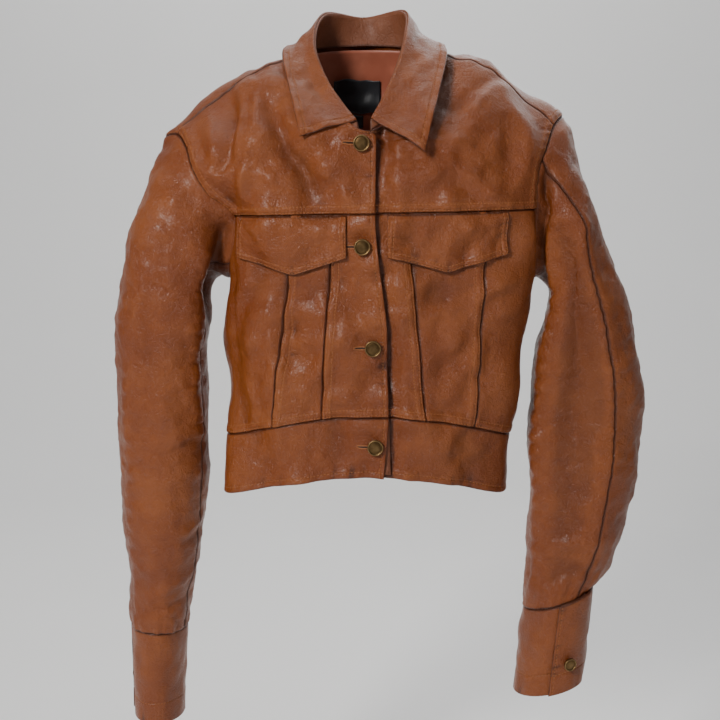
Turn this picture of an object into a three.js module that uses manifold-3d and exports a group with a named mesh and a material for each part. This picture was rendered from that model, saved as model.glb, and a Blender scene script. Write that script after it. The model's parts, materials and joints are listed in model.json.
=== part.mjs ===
// Leather riding jacket, hip length, buttoned and hanging by its back neck.
// Millimetres, +Z up, the wearer faces -Y, and the wearer's right is at -X.
// The origin is where a hook carries the jacket, at the middle of the back neck.
// Every leather piece is a thin shell over a patch between four seam curves, so pieces that are
// sewn together share a curve, and each shell stops a seam gap short of it.

import * as THREE from "three";
import { mergeVertices } from "three/addons/utils/BufferGeometryUtils.js";
import Module from "manifold-3d";

const wasm = await Module();
wasm.setup();

// ---- Driving dimensions ----

// Body: drops are measured down from the hook, edges along X from it.
const BODY_LENGTH = 493; // hook to hem at the side seams
const WAISTBAND_HEIGHT = 66;
const WAIST_ARCH = 30; // the waist seam and hem rise this much at the centre front
const BACK_ARCH = 6;
const YOKE_DROP = 184; // front yoke seam
const YOKE_TILT = 0.02; // the yoke seam rises to the wearer's left
const BACK_YOKE_DROP = 168;
const ARMPIT_DROP = 255;
const FRONT_DEPTH = 88;
const BACK_DEPTH = 76;
const SIDE_ROUNDNESS = 0.6; // below 1 flattens the front and back and blunts the sides
const CHEST_EDGE = { right: -145, left: 188 };
const WAIST_EDGE = { right: -147, left: 162 };
const HEM_EDGE = { right: -153, left: 155 };
const ARMHOLE_ANGLE = THREE.MathUtils.degToRad(72); // where the armhole crosses the yoke seams

// Leather, lining and the fits between layers.
const LEATHER = 2;
const LINING = 1;
const SEAM_GAP = 0.45;
const FACING = 1.2;
const FACING_WIDTH = 46;
const FACING_GAP = 1.4; // facing behind the leather that it backs
const FACING_MARGIN = 3; // facing short of the seams round it
const LAYER_GAP = 0.9; // between two layers that lie on each other
const YOKE_LINING_GAP = 9; // yoke lining short of the yoke's edges, since it bends most there
const PANEL_LINING_GAP = 6;
const SLEEVE_LINING_START = 40; // sleeve lining short of the armhole, which is narrow there
const LAP_DEPTH = LEATHER + FACING + FACING_GAP + 2 * LAYER_GAP; // under front behind the upper one
const LINING_SETBACK = 7; // lining behind the leather's inner face
const ARMHOLE_GAP = 6; // sleeve to body, so the sleeve can swing

// Front edge: the wearer's right laps over the left.
const FRONT_OVERLAP = 36;
const EDGE_X = { neck: 12, yoke: 11, middle: 24, hem: 28 };
const EDGE_MIDDLE_DROP = 325;
const NECK_CORNER = { y: -79, drop: 102 }; // top of the front edge
const LAP_EASE = { start: 4, end: 24 }; // past the front edge, where the under front rises to the surface
const NECK_EASE = { share: 0.95, start: 1.3 }; // extra lap depth at the neck, from this many neck drops up

// Seams down the front panels, as X at the yoke seam and at the waist seam.
const FRONT_SEAMS = {
  right: { inner: [-33, -46], outer: [-76, -96] },
  left: { inner: [45, 64], outer: [128, 119] },
};
const BACK_SEAMS = { right: [-66, -44], left: [104, 64] };

// Buttons.
const BUTTON_COUNT = 4;
const FIRST_BUTTON_DROP = 112;
const BUTTON_PITCH = 105.5;
const BUTTON_INSET = 15.5; // button axis to the front edge
const BUTTON_DIAMETER = 17;
const BUTTON_THICKNESS = 3.4;
const BUTTON_BEVEL = 1.2;
const BUTTON_FLOOR = 1.2; // head left above the bore for the tack
const HUB_DIAMETER = 7; // the shank under the button's head
const TACK_DIAMETER = 3.6;
const TACK_HEAD_DIAMETER = 9;
const TACK_HEAD_THICKNESS = 1.2;
const BUTTON_CLEARANCE = 0.4;
const BUTTON_SEAT_GAP = 1.7; // hub to the layer that holds its tack
const BUTTONHOLE_LENGTH = 20;
const CUFF_BUTTON_DIAMETER = 15;

// Chest pocket flaps.
const FLAP_SPAN = { right: [-131.5, -18.5], left: [25, 148] };
const FLAP_SIDE = 41;
const FLAP_POINT = 18; // extra drop at the pointed middle
const FLAP_TOP_GAP = 4; // below the yoke seam
const POCKET_DEPTH = 115;
const POCKET_INSET = 8; // bag narrower than its flap, each side
const FLAP_GAP = 1.6;
const BAG_GAP = 2.4;
const BAG_THICKNESS = 2;

// Shoulders and armholes, from the shoulder tip forward round to the back.
const SHOULDER_TIP = { right: [-216, 6, -106], left: [214, 6, -84] };
const SHOULDER_END = { right: [-200, -14, -103], left: [202, -16, -94] };
const ARMHOLE_FRONT = {
  right: [[-188, -33, -118], [-181, -45, -137], [-166, -51, -162]],
  left: [[191, -37, -118], [183, -47, -136], [180, -50, -160]],
};
const ARMHOLE_BACK = {
  right: [[-176, 48, -140], [-203, 30, -116]],
  left: [[194, 46, -132], [209, 28, -98]],
};
const SHOULDER_LINE = {
  right: [[-92, -5, -28], [-134, -8, -47], [-172, -12, -80]],
  left: [[92, -5, -25], [136, -8, -44], [176, -11, -70]],
};

// Neck seam from the centre front round to the shoulder seam, and on across the back.
const NECK_FRONT = {
  right: [[-6, -78, -99], [-32, -64, -82], [-57, -36, -54]],
  left: [[6, -78, -99], [32, -64, -82], [56, -36, -53]],
};
const NECK_SIDE = { right: [-71, 2, -20], left: [70, 2, -18] };
const NECK_BACK = [[-54, 40, -9], [0, 57, -5], [53, 40, -8]];

// Collar: the roll line is the top edge, where the stand ends and the fall turns down.
const ROLL_FRONT = {
  right: [[-8, -74, -90], [-22, -62, -72], [-39, -42, -46], [-53, -14, -8]],
  left: [[6, -74, -88], [20, -60, -62], [33, -40, -32], [43, -12, 4]],
};
const ROLL_BACK = [[-43, 28, 27], [0, 58, 21], [42, 28, 30]];
const COLLAR_TIP = { right: [-66, -85, -108], left: [61, -93, -123] };
const COLLAR_EDGE = {
  right: [[-79, -50, -58], [-88, -8, -17], [-76, 46, -8]],
  left: [[76, -58, -66], [87, -8, -16], [76, 46, -8]],
};
const COLLAR_BACK_EDGE = [0, 74, -22];
const COLLAR_CLEARANCE = 3.2; // fall to the stand and the roll line
const COLLAR_RISE = 1.5; // fall above the roll line
const COLLAR_SPLIT = 0.22; // each leaf's share of the fall
const STAND_GAP = 2.5; // stand to the pieces sewn under it

// Sleeves: outer and inner point of each ring [x, z] and half depth, from cap to cuff seam.
const SLEEVE_RINGS = {
  right: [
    { outer: [-236, -163], inner: [-168, -270], depth: 60 },
    { outer: [-258, -232], inner: [-171, -304], depth: 64 },
    { outer: [-270, -316], inner: [-176, -345], depth: 63 },
    { outer: [-272, -410], inner: [-175, -415], depth: 59 },
    { outer: [-271, -530], inner: [-183, -530], depth: 52 },
    { outer: [-268, -600], inner: [-196, -600], depth: 46 },
    { outer: [-265, -652], inner: [-205, -655], depth: 40 },
  ],
  left: [
    { outer: [236, -150], inner: [204, -273], depth: 58 },
    { outer: [258, -212], inner: [200, -312], depth: 58 },
    { outer: [288, -290], inner: [192, -342], depth: 56 },
    { outer: [311, -400], inner: [187, -410], depth: 49 },
    { outer: [297, -515], inner: [187, -520], depth: 46 },
    { outer: [276, -585], inner: [185, -598], depth: 43 },
    { outer: [260, -604], inner: [184, -634], depth: 40 },
  ],
};
const SLEEVE_CENTRE_Y = -4;
const CUFF_END = {
  right: { outer: [-264, -762], inner: [-211, -762], depth: 36 },
  left: { outer: [250, -717], inner: [175, -736], depth: 36 },
};
const SLEEVE_SEAMS = { right: [0.5, 0.88], left: [0.22, 0.7] }; // turns round the armhole
const CUFF_OPENING = { right: 0.9, left: 0.2 };
const CUFF_LAP = 0.07; // turns by which the cuff's ends pass each other, each side
const CUFF_GAP = 2; // cuff to sleeve
const CUFF_BUTTON_HEIGHT = 0.33; // share of the cuff's length, from its free end

const LABEL = { x: -9, width: 56, height: 33, drop: 39 };
const SIZE_TAB = { width: 14, height: 12, gap: 2 }; // gap under the label
const LABEL_THICKNESS = 0.8;

// ---- Colours ----

const LEATHER_COLOUR = 0x8a5232;
const LINING_COLOUR = 0x663725;
const BRASS_COLOUR = 0x674c2c;
const LABEL_COLOUR = 0x28292d;

// ---- Curves ----

const vector = (p) => new THREE.Vector3(...p);
const lerp = THREE.MathUtils.lerp;
const SIDES = ["right", "left"];
const sign = { right: -1, left: 1 };

// A smooth curve through points; its parameter steps evenly from point to point.
function through(points, closed = false) {
  const curve = new THREE.CatmullRomCurve3(points.map((p) => (p.isVector3 ? p : vector(p))), closed);
  return (t) => curve.getPoint(t);
}

// The same curve with its parameter spread evenly along its length.
function evenly(points) {
  const curve = new THREE.CatmullRomCurve3(points.map((p) => (p.isVector3 ? p : vector(p))));
  return (t) => curve.getPointAt(t);
}

const stretch = (curve, from, to) => (t) => curve(lerp(from, to, t));
const backwards = (curve) => (t) => curve(1 - t);

// Curves end to end, each given its share of the whole parameter.
function chain(...links) {
  const total = links.reduce((sum, link) => sum + link.share, 0);
  return (t) => {
    let start = 0;
    for (const link of links) {
      const share = link.share / total;
      if (t <= start + share || link === links[links.length - 1]) {
        return link.curve(THREE.MathUtils.clamp((t - start) / share, 0, 1));
      }
      start += share;
    }
    return null;
  };
}

// ---- The body's cross-section and its seams ----

function edgeAt(side, z) {
  const waist = -(BODY_LENGTH - WAISTBAND_HEIGHT);
  if (z > waist) {
    const t = THREE.MathUtils.clamp((z + YOKE_DROP) / (waist + YOKE_DROP), 0, 1);
    return lerp(CHEST_EDGE[side], WAIST_EDGE[side], t);
  }
  return lerp(WAIST_EDGE[side], HEM_EDGE[side], (waist - z) / WAISTBAND_HEIGHT);
}

// A point of the body at an angle from the centre front, a quarter turn at each side seam.
function body(angle, z) {
  const right = edgeAt("right", z);
  const left = edgeAt("left", z);
  const depth = Math.cos(angle) > 0 ? -FRONT_DEPTH : BACK_DEPTH;
  return new THREE.Vector3(
    (right + left) / 2 + ((left - right) / 2) * Math.sin(angle),
    depth * Math.abs(Math.cos(angle)) ** SIDE_ROUNDNESS,
    z,
  );
}

function angleAt(x, z) {
  const right = edgeAt("right", z);
  const left = edgeAt("left", z);
  return Math.asin(THREE.MathUtils.clamp((2 * x - right - left) / (left - right), -1, 1));
}

const yokeZ = (x) => -YOKE_DROP + YOKE_TILT * x;

function waistZ(angle) {
  const arch = Math.cos(angle) > 0 ? WAIST_ARCH : BACK_ARCH;
  return -(BODY_LENGTH - WAISTBAND_HEIGHT) + arch * Math.cos(angle) ** 2;
}

const hemZ = (angle) => waistZ(angle) - WAISTBAND_HEIGHT;

function frontEdgeX(z) {
  const stops = [
    [-NECK_CORNER.drop, EDGE_X.neck],
    [-YOKE_DROP, EDGE_X.yoke],
    [-EDGE_MIDDLE_DROP, EDGE_X.middle],
    [-BODY_LENGTH, EDGE_X.hem],
  ];
  for (let i = 1; i < stops.length; i += 1) {
    const [z0, x0] = stops[i - 1];
    const [z1, x1] = stops[i];
    if (z > z1 || i === stops.length - 1) {
      return lerp(x0, x1, THREE.MathUtils.smoothstep(z0 - z, 0, z0 - z1));
    }
  }
  return EDGE_X.hem;
}

// The free front edge: the wearer's right on top, the left under it.
const ownEdgeX = (side, z) => frontEdgeX(z) - (side === "left" ? FRONT_OVERLAP : 0);

// The front seen at x and z: the left half sinks under the right where they lap.
function front(side, x, z) {
  const point = body(angleAt(x, z), z);
  point.y += underlap(side, x, z);
  return point;
}

function underlap(side, x, z) {
  if (side === "right") {
    return 0;
  }
  const edge = frontEdgeX(z);
  return LAP_DEPTH * (1 - THREE.MathUtils.smoothstep(x, edge + LAP_EASE.start, edge + LAP_EASE.end));
}

function frontEdge(side, bottomZ, topZ) {
  return (t) => {
    const z = lerp(bottomZ, topZ, t);
    return front(side, ownEdgeX(side, z), z);
  };
}

// ---- Armholes, shoulders and neck ----

const armhole = {};
const CROSSING_FRONT = 5 / 12; // places on the armhole, in turns
const ARMPIT = 7 / 12;
const CROSSING_BACK = 9 / 12;
const SEAM_END = 1 / 12;
for (const side of SIDES) {
  const s = sign[side];
  const quarter = (s * Math.PI) / 2;
  const low = lerp(quarter, s * ARMHOLE_ANGLE, 0.45);
  const crossing = body(s * ARMHOLE_ANGLE, yokeZ(CHEST_EDGE[side]));
  armhole[side] = through(
    [
      SHOULDER_TIP[side],
      SHOULDER_END[side],
      ...ARMHOLE_FRONT[side],
      crossing,
      body(low, lerp(-ARMPIT_DROP, -YOKE_DROP, 0.26)),
      body(quarter, -ARMPIT_DROP),
      body(Math.PI - low, lerp(-ARMPIT_DROP, -BACK_YOKE_DROP, 0.26)),
      body(Math.PI - s * ARMHOLE_ANGLE, -BACK_YOKE_DROP),
      ...ARMHOLE_BACK[side],
    ],
    true,
  );
}

const shoulderSeam = {};
const neckFront = {};
for (const side of SIDES) {
  shoulderSeam[side] = evenly([NECK_SIDE[side], ...SHOULDER_LINE[side], SHOULDER_END[side]]);
  neckFront[side] = evenly([...NECK_FRONT[side], NECK_SIDE[side]]);
}
const neckBack = evenly([NECK_SIDE.right, ...NECK_BACK, NECK_SIDE.left]);

// ---- Patches and shells ----

// The surface between four curves; lean gives its slope across v at the bottom and at the top,
// in shares of the distance across, as a function of u.
function patch(bottom, top, left, right, lean = null) {
  const across = (u, v) => {
    const low = bottom(u);
    const high = top(u);
    if (!lean) {
      return low.lerp(high, v);
    }
    const reach = low.distanceTo(high);
    const v2 = v * v;
    const v3 = v2 * v;
    return low.clone().multiplyScalar(2 * v3 - 3 * v2 + 1)
      .addScaledVector(lean.bottom(u), reach * (v3 - 2 * v2 + v))
      .addScaledVector(high, 3 * v2 - 2 * v3)
      .addScaledVector(lean.top(u), reach * (v3 - v2));
  };
  return (u, v) => across(u, v)
    .addScaledVector(left(v).sub(across(0, v)), 1 - u)
    .addScaledVector(right(v).sub(across(1, v)), u);
}

function normalAt(surface, u, v, flip) {
  const h = 1e-3;
  const u0 = Math.max(u - h, 0);
  const u1 = Math.min(u + h, 1);
  const v0 = Math.max(v - h, 0);
  const v1 = Math.min(v + h, 1);
  const du = surface(u1, v).sub(surface(u0, v));
  const dv = surface(u, v1).sub(surface(u, v0));
  return du.cross(dv).normalize().multiplyScalar(flip);
}

// 1 when du x dv already points away from the given inner point, and -1 when it points to it.
function facing(surface, inside) {
  const away = surface(0.5, 0.5).sub(inside);
  return normalAt(surface, 0.5, 0.5, 1).dot(away) > 0 ? 1 : -1;
}

// How far along a parameter a gap reaches, measured at the middle of the patch.
function margins(surface, gap) {
  const steps = 12;
  let lengthU = 0;
  let lengthV = 0;
  for (let i = 0; i < steps; i += 1) {
    lengthU += surface(i / steps, 0.5).distanceTo(surface((i + 1) / steps, 0.5));
    lengthV += surface(0.5, i / steps).distanceTo(surface(0.5, (i + 1) / steps));
  }
  return [gap / lengthU, gap / lengthV];
}

const INSIDE = new THREE.Vector3(20, 0, -300);

// A closed shell from `from` to `to` millimetres outside the surface, short of its edges by a gap.
function shell(surface, { nu, nv, from = 0, to = LEATHER, gap = SEAM_GAP, inside = INSIDE,
  round = false, gapBottom = gap, gapTop = gap, area = [0, 1, 0, 1] }) {
  const flip = facing(surface, inside);
  const [marginU, marginV] = margins(surface, 1);
  const u0 = area[0] + (round ? 0 : marginU * gap);
  const u1 = area[1] - (round ? 0 : marginU * gap);
  const v0 = area[2] + marginV * gapBottom;
  const v1 = area[3] - marginV * gapTop;
  const positions = [];
  const index = [];
  const columns = round ? nu : nu + 1;
  for (const offset of [from, to]) {
    for (let j = 0; j <= nv; j += 1) {
      for (let i = 0; i < columns; i += 1) {
        const u = lerp(u0, u1, i / nu);
        const v = lerp(v0, v1, j / nv);
        const point = surface(u, v).addScaledVector(normalAt(surface, u, v, flip), offset);
        positions.push(point.x, point.y, point.z);
      }
    }
  }
  const at = (layer, i, j) => layer * columns * (nv + 1) + j * columns + (i % columns);
  const quad = (a, b, c, d) => {
    if (flip > 0) {
      index.push(a, b, c, a, c, d);
    } else {
      index.push(a, c, b, a, d, c);
    }
  };
  for (let j = 0; j < nv; j += 1) {
    for (let i = 0; i < nu; i += 1) {
      quad(at(1, i, j), at(1, i + 1, j), at(1, i + 1, j + 1), at(1, i, j + 1));
      quad(at(0, i, j), at(0, i, j + 1), at(0, i + 1, j + 1), at(0, i + 1, j));
    }
  }
  for (let i = 0; i < nu; i += 1) {
    quad(at(0, i, 0), at(0, i + 1, 0), at(1, i + 1, 0), at(1, i, 0));
    quad(at(0, i, nv), at(1, i, nv), at(1, i + 1, nv), at(0, i + 1, nv));
  }
  for (let j = 0; j < nv && !round; j += 1) {
    quad(at(0, 0, j), at(1, 0, j), at(1, 0, j + 1), at(0, 0, j + 1));
    quad(at(0, nu, j), at(0, nu, j + 1), at(1, nu, j + 1), at(1, nu, j));
  }
  const geometry = new THREE.BufferGeometry();
  geometry.setAttribute("position", new THREE.Float32BufferAttribute(positions, 3));
  geometry.setIndex(index);
  return geometry;
}

// The point of a patch that lies at x and z, with the patch's outward normal there.
function locate(surface, x, z) {
  let u = 0.5;
  let v = 0.5;
  for (let step = 0; step < 30; step += 1) {
    const h = 1e-3;
    const here = surface(u, v);
    const du = surface(u + h, v).sub(here).divideScalar(h);
    const dv = surface(u, v + h).sub(here).divideScalar(h);
    const ex = x - here.x;
    const ez = z - here.z;
    const determinant = du.x * dv.z - du.z * dv.x;
    u = THREE.MathUtils.clamp(u + (0.8 * (ex * dv.z - ez * dv.x)) / determinant, 0, 1 - h);
    v = THREE.MathUtils.clamp(v + (0.8 * (ez * du.x - ex * du.z)) / determinant, 0, 1 - h);
  }
  return surface(u, v);
}

// ---- Booleans ----

function solidOf(geometry) {
  const bare = geometry.clone();
  bare.deleteAttribute("normal");
  bare.deleteAttribute("uv");
  const merged = mergeVertices(bare, 1e-4);
  return new wasm.Manifold(new wasm.Mesh({
    numProp: 3,
    vertProperties: new Float32Array(merged.attributes.position.array),
    triVerts: new Uint32Array(merged.index.array),
  }));
}

function geometryOf(solid) {
  const mesh = solid.getMesh();
  const geometry = new THREE.BufferGeometry();
  geometry.setAttribute("position", new THREE.Float32BufferAttribute(mesh.vertProperties, 3));
  geometry.setIndex(Array.from(mesh.triVerts));
  return geometry;
}

function cut(geometry, ...tools) {
  return tools.reduce((rest, tool) => geometryOf(solidOf(rest).subtract(solidOf(tool))), geometry);
}

// ---- The scene graph ----

const jacket = new THREE.Group();

const finish = {
  leather: () => new THREE.MeshStandardMaterial({ color: LEATHER_COLOUR, roughness: 0.42, metalness: 0 }),
  lining: () => new THREE.MeshStandardMaterial({ color: LINING_COLOUR, roughness: 0.6, metalness: 0 }),
  brass: () => new THREE.MeshStandardMaterial({ color: BRASS_COLOUR, roughness: 0.35, metalness: 1 }),
  label: () => new THREE.MeshStandardMaterial({ color: LABEL_COLOUR, roughness: 0.5, metalness: 0 }),
};

function add(name, geometry, material = "leather") {
  const mesh = new THREE.Mesh(geometry, finish[material]());
  mesh.name = name;
  jacket.add(mesh);
  return mesh;
}

// ---- Buttons: where each one sits ----

const waistCentre = waistZ(0);
const buttonPlaces = [];
for (let i = 0; i < BUTTON_COUNT; i += 1) {
  const z = -(FIRST_BUTTON_DROP + i * BUTTON_PITCH);
  buttonPlaces.push({ x: frontEdgeX(z) - BUTTON_INSET, z });
}
const inYoke = (place) => place.z > -YOKE_DROP;
const inWaistband = (place) => place.z < waistCentre;
const HOLE_DEPTH = 8 * LEATHER; // long enough to pass through every layer at a hole

// A slot through the lap, wide enough for the button's hub, and a round hole for its tack.
function buttonhole(place, surfaceY) {
  const width = HUB_DIAMETER + 2 * BUTTON_CLEARANCE;
  const bore = width / 2;
  const slot = new THREE.Shape();
  slot.absarc(0, 0, bore, -Math.PI / 2, Math.PI / 2);
  slot.lineTo(-(BUTTONHOLE_LENGTH - bore), bore);
  slot.lineTo(-(BUTTONHOLE_LENGTH - bore), -bore);
  slot.closePath();
  const depth = HOLE_DEPTH;
  const tool = new THREE.ExtrudeGeometry(slot, { depth, bevelEnabled: false, curveSegments: 6 });
  tool.rotateX(Math.PI / 2);
  tool.translate(place.x, surfaceY + depth / 2, place.z);
  return tool;
}

function tackHole(place, surfaceY) {
  const radius = TACK_DIAMETER / 2 + BUTTON_CLEARANCE;
  const tool = new THREE.CylinderGeometry(radius, radius, HOLE_DEPTH, 12);
  tool.translate(place.x, surfaceY, place.z);
  return tool;
}

// ---- Front panels, yokes and waistband fronts ----

// A surface whose strip along the front edge follows the inside of the surface that laps it.
function tucked(surface, cover) {
  return (u, v) => {
    const point = surface(u, v);
    const edge = frontEdgeX(point.z);
    const share = 1 - THREE.MathUtils.smoothstep(point.x, edge + LAP_EASE.start, edge + LAP_EASE.end);
    if (share > 0) {
      const easeStart = -NECK_EASE.start * NECK_CORNER.drop;
      const nearNeck = THREE.MathUtils.smoothstep(point.z, easeStart, -NECK_CORNER.drop);
      const covered = locate(cover, Math.min(point.x, edge), point.z).y;
      point.y = lerp(point.y, covered + LAP_DEPTH * (1 + NECK_EASE.share * nearNeck), share);
    }
    return point;
  };
}

// The yoke leaves its seam upright and leans back over the chest towards the shoulder.
const yoke = {};
const yokeLean = {
  bottom: () => new THREE.Vector3(0, 0, 1),
  top: () => new THREE.Vector3(0, 0.86, 0.5),
};
for (const side of SIDES) {
  const s = sign[side];
  const seam = FRONT_SEAMS[side];
  const edgeX = ownEdgeX(side, -YOKE_DROP);
  const crossing = armhole[side](CROSSING_FRONT);

  // Along the yoke seam from the front edge to a place on it.
  const yokeSeam = (from, to) => (t) => {
    const x = lerp(from, to, t);
    return x === crossing.x ? crossing.clone() : front(side, x, yokeZ(x));
  };
  const waistSeam = (from, to) => (t) => {
    const angle = lerp(from, to, t);
    const point = body(angle, waistZ(angle));
    point.y += underlap(side, point.x, point.z);
    return point;
  };
  const angles = [
    angleAt(ownEdgeX(side, waistCentre), waistCentre),
    angleAt(seam.inner[1], waistCentre),
    angleAt(seam.outer[1], waistCentre),
    (s * Math.PI) / 2,
  ];
  const downSeam = (which) => {
    const [top, bottom] = seam[which];
    const low = waistSeam(angles[which === "inner" ? 1 : 2], 0)(0);
    const high = yokeSeam(top, top)(0);
    return (t) => {
      const z = lerp(low.z, high.z, t);
      const x = lerp(low.x, high.x, t);
      return t === 0 ? low.clone() : front(side, x, z);
    };
  };
  const edge = frontEdge(side, waistCentre, yokeZ(edgeX));
  const innerSeam = downSeam("inner");
  const outerSeam = downSeam("outer");
  const sideSeam = (t) => body((s * Math.PI) / 2, lerp(waistZ(Math.PI / 2), -ARMPIT_DROP, t));

  const centre = patch(
    (u) => waistSeam(angles[0], angles[1])(u),
    yokeSeam(edgeX, seam.inner[0]),
    edge,
    innerSeam,
  );
  const middle = patch(
    waistSeam(angles[1], angles[2]),
    yokeSeam(seam.inner[0], seam.outer[0]),
    innerSeam,
    outerSeam,
  );
  const sideTop = chain(
    { curve: yokeSeam(seam.outer[0], crossing.x), share: 1 },
    { curve: stretch(armhole[side], CROSSING_FRONT, ARMPIT), share: 1 },
  );
  const outer = patch(waistSeam(angles[2], angles[3]), sideTop, outerSeam, sideSeam);

  // The yoke: front edge and neck on one side, armhole on the other, shoulder seam on top.
  const neckCorner = new THREE.Vector3(
    ownEdgeX(side, -NECK_CORNER.drop),
    NECK_CORNER.y + underlap(side, ownEdgeX(side, -NECK_CORNER.drop), -NECK_CORNER.drop),
    -NECK_CORNER.drop,
  );
  const seamEnd = yokeSeam(edgeX, edgeX)(0);
  const midEdge = seamEnd.clone().lerp(neckCorner, 0.5);
  midEdge.y = lerp(seamEnd.y, neckCorner.y, 0.4); // the front bows out a little over the chest
  const yokeEdge = chain(
    { curve: evenly([seamEnd, midEdge, neckCorner]), share: 3 },
    { curve: (t) => neckCorner.clone().lerp(vector(NECK_FRONT[side][0]), t), share: 1 },
    { curve: neckFront[side], share: 4 },
  );
  const spread = patch(
    yokeSeam(edgeX, crossing.x),
    shoulderSeam[side],
    yokeEdge,
    backwards(stretch(armhole[side], SEAM_END, CROSSING_FRONT)),
    yokeLean,
  );
  yoke[side] = side === "right" ? spread : tucked(spread, yoke.right);

  const band = (from, to) => patch(
    (u) => {
      const angle = lerp(from, to, u);
      const point = body(angle, hemZ(angle));
      point.y += underlap(side, point.x, point.z);
      return point;
    },
    waistSeam(from, to),
    (v) => {
      const point = body(from, lerp(hemZ(from), waistZ(from), v));
      point.y += underlap(side, point.x, point.z);
      return point;
    },
    (v) => body(to, lerp(hemZ(to), waistZ(to), v)),
  );
  const waistband = band(angles[0], angles[3]);

  const pieces = {
    panel_center: shell(centre, { nu: 4, nv: 7 }),
    panel_middle: shell(middle, { nu: 3, nv: 6 }),
    panel_side: shell(outer, { nu: 6, nv: 6 }),
    yoke: shell(yoke[side], { nu: 8, nv: 8, gapTop: 2 * SEAM_GAP }),
    waistband: shell(waistband, { nu: 8, nv: 2 }),
  };
  for (const place of buttonPlaces) {
    const piece = inYoke(place) ? "yoke" : inWaistband(place) ? "waistband" : "panel_center";
    const surface = inYoke(place) ? locate(yoke[side], place.x, place.z) : front(side, place.x, place.z);
    place[side] = surface.y;
    const tool = side === "right" ? buttonhole(place, surface.y) : tackHole(place, surface.y);
    pieces[piece] = cut(pieces[piece], tool);
  }
  add(`${side}_front_panel_center`, pieces.panel_center);
  add(`${side}_front_panel_middle`, pieces.panel_middle);
  add(`${side}_front_panel_side`, pieces.panel_side);
  add(`${side}_front_yoke`, pieces.yoke);
  add(`${side}_waistband`, pieces.waistband);

  // The facing backs the front edge from the hem up to the shoulder seam.
  const facingShare = FACING_WIDTH / Math.abs(crossing.x - edgeX);
  const belowYoke = 0.7; // the facing's share that lies below the yoke seam
  const facingSurface = (u, v) => {
    if (v >= belowYoke) {
      return yoke[side](u * facingShare, (v - belowYoke) / (1 - belowYoke));
    }
    const topX = edgeX + s * FACING_WIDTH * u;
    const z = lerp(hemZ(0) + 2 * LEATHER, yokeZ(topX), v / belowYoke);
    return front(side, ownEdgeX(side, z) + s * FACING_WIDTH * u, z);
  };
  let backing = shell(facingSurface, {
    nu: 2, nv: 10, from: -FACING_GAP - FACING, to: -FACING_GAP, gap: FACING_MARGIN,
  });
  for (const place of buttonPlaces) {
    const tool = side === "right" ? buttonhole(place, place[side]) : tackHole(place, place[side]);
    backing = cut(backing, tool);
  }
  add(`${side}_facing`, backing);

  // Lining behind the yoke and behind the panels, from the facing outwards.
  const lined = { from: -LINING_SETBACK - LINING, to: -LINING_SETBACK, gap: PANEL_LINING_GAP };
  const yokeLined = { ...lined, gap: YOKE_LINING_GAP, area: [facingShare, 1, 0, 1] };
  add(`${side}_yoke_lining`, shell(yoke[side], { nu: 6, nv: 6, ...yokeLined }), "lining");
  const facingEdge = (t) => {
    const z = lerp(waistCentre, yokeZ(edgeX), t);
    return front(side, ownEdgeX(side, z) + s * FACING_WIDTH, z);
  };
  const panels = patch(
    waistSeam(angleAt(facingEdge(0).x, waistCentre), angles[3]),
    chain(
      { curve: yokeSeam(facingEdge(1).x, crossing.x), share: 2 },
      { curve: stretch(armhole[side], CROSSING_FRONT, ARMPIT), share: 1 },
    ),
    facingEdge,
    sideSeam,
  );
  add(`${side}_front_lining`, shell(panels, { nu: 7, nv: 5, ...lined }), "lining");

  // Pocket flap over the panels, and the pocket bag that hangs behind it.
  const [flapLow, flapHigh] = FLAP_SPAN[side];
  const flapSurface = (u, v) => {
    const x = lerp(flapLow, flapHigh, u);
    const point = FLAP_POINT * (1 - Math.abs(2 * u - 1));
    const z = yokeZ(x) - FLAP_TOP_GAP - (1 - v) * (FLAP_SIDE + point);
    return front(side, x, z);
  };
  const flapFrom = LEATHER + FLAP_GAP;
  const flapOptions = { nu: 6, nv: 3, from: flapFrom, to: flapFrom + LEATHER, gap: 0 };
  add(`${side}_pocket_flap`, shell(flapSurface, flapOptions));
  const facingLimit = edgeX + s * (FACING_WIDTH + LAYER_GAP);
  const bagLow = Math.max(flapLow + POCKET_INSET, side === "left" ? facingLimit : -Infinity);
  const bagHigh = Math.min(flapHigh - POCKET_INSET, side === "right" ? facingLimit : Infinity);
  const bagSurface = (u, v) => {
    const x = lerp(bagLow, bagHigh, u);
    return front(side, x, yokeZ(x) - FLAP_TOP_GAP - (1 - v) * POCKET_DEPTH);
  };
  const bagFrom = -BAG_GAP - BAG_THICKNESS;
  const bagOptions = { nu: 4, nv: 3, from: bagFrom, to: -BAG_GAP, gap: 0 };
  add(`${side}_pocket_bag`, shell(bagSurface, bagOptions), "lining");
}

// ---- Back panels, back yoke and waistband back ----

const backAngleAt = (x, z) => Math.PI - angleAt(x, z);
const quarterTurn = Math.PI / 2;
const backWaist = (from, to) => (t) => body(lerp(from, to, t), waistZ(lerp(from, to, t)));
const backYokeSeam = (from, to) => (t) => body(lerp(from, to, t), -BACK_YOKE_DROP);
const backSeam = (side) => {
  const [top, bottom] = BACK_SEAMS[side];
  const topAngle = backAngleAt(top, -BACK_YOKE_DROP);
  const bottomAngle = backAngleAt(bottom, waistZ(Math.PI));
  return {
    topAngle,
    bottomAngle,
    curve: (t) => {
      const angle = lerp(bottomAngle, topAngle, t);
      return body(angle, lerp(waistZ(bottomAngle), -BACK_YOKE_DROP, t));
    },
  };
};
const backSeams = { right: backSeam("right"), left: backSeam("left") };
const backCentre = patch(
  backWaist(backSeams.left.bottomAngle, backSeams.right.bottomAngle),
  backYokeSeam(backSeams.left.topAngle, backSeams.right.topAngle),
  backSeams.left.curve,
  backSeams.right.curve,
);
add("back_panel_center", shell(backCentre, { nu: 5, nv: 6 }));
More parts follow.
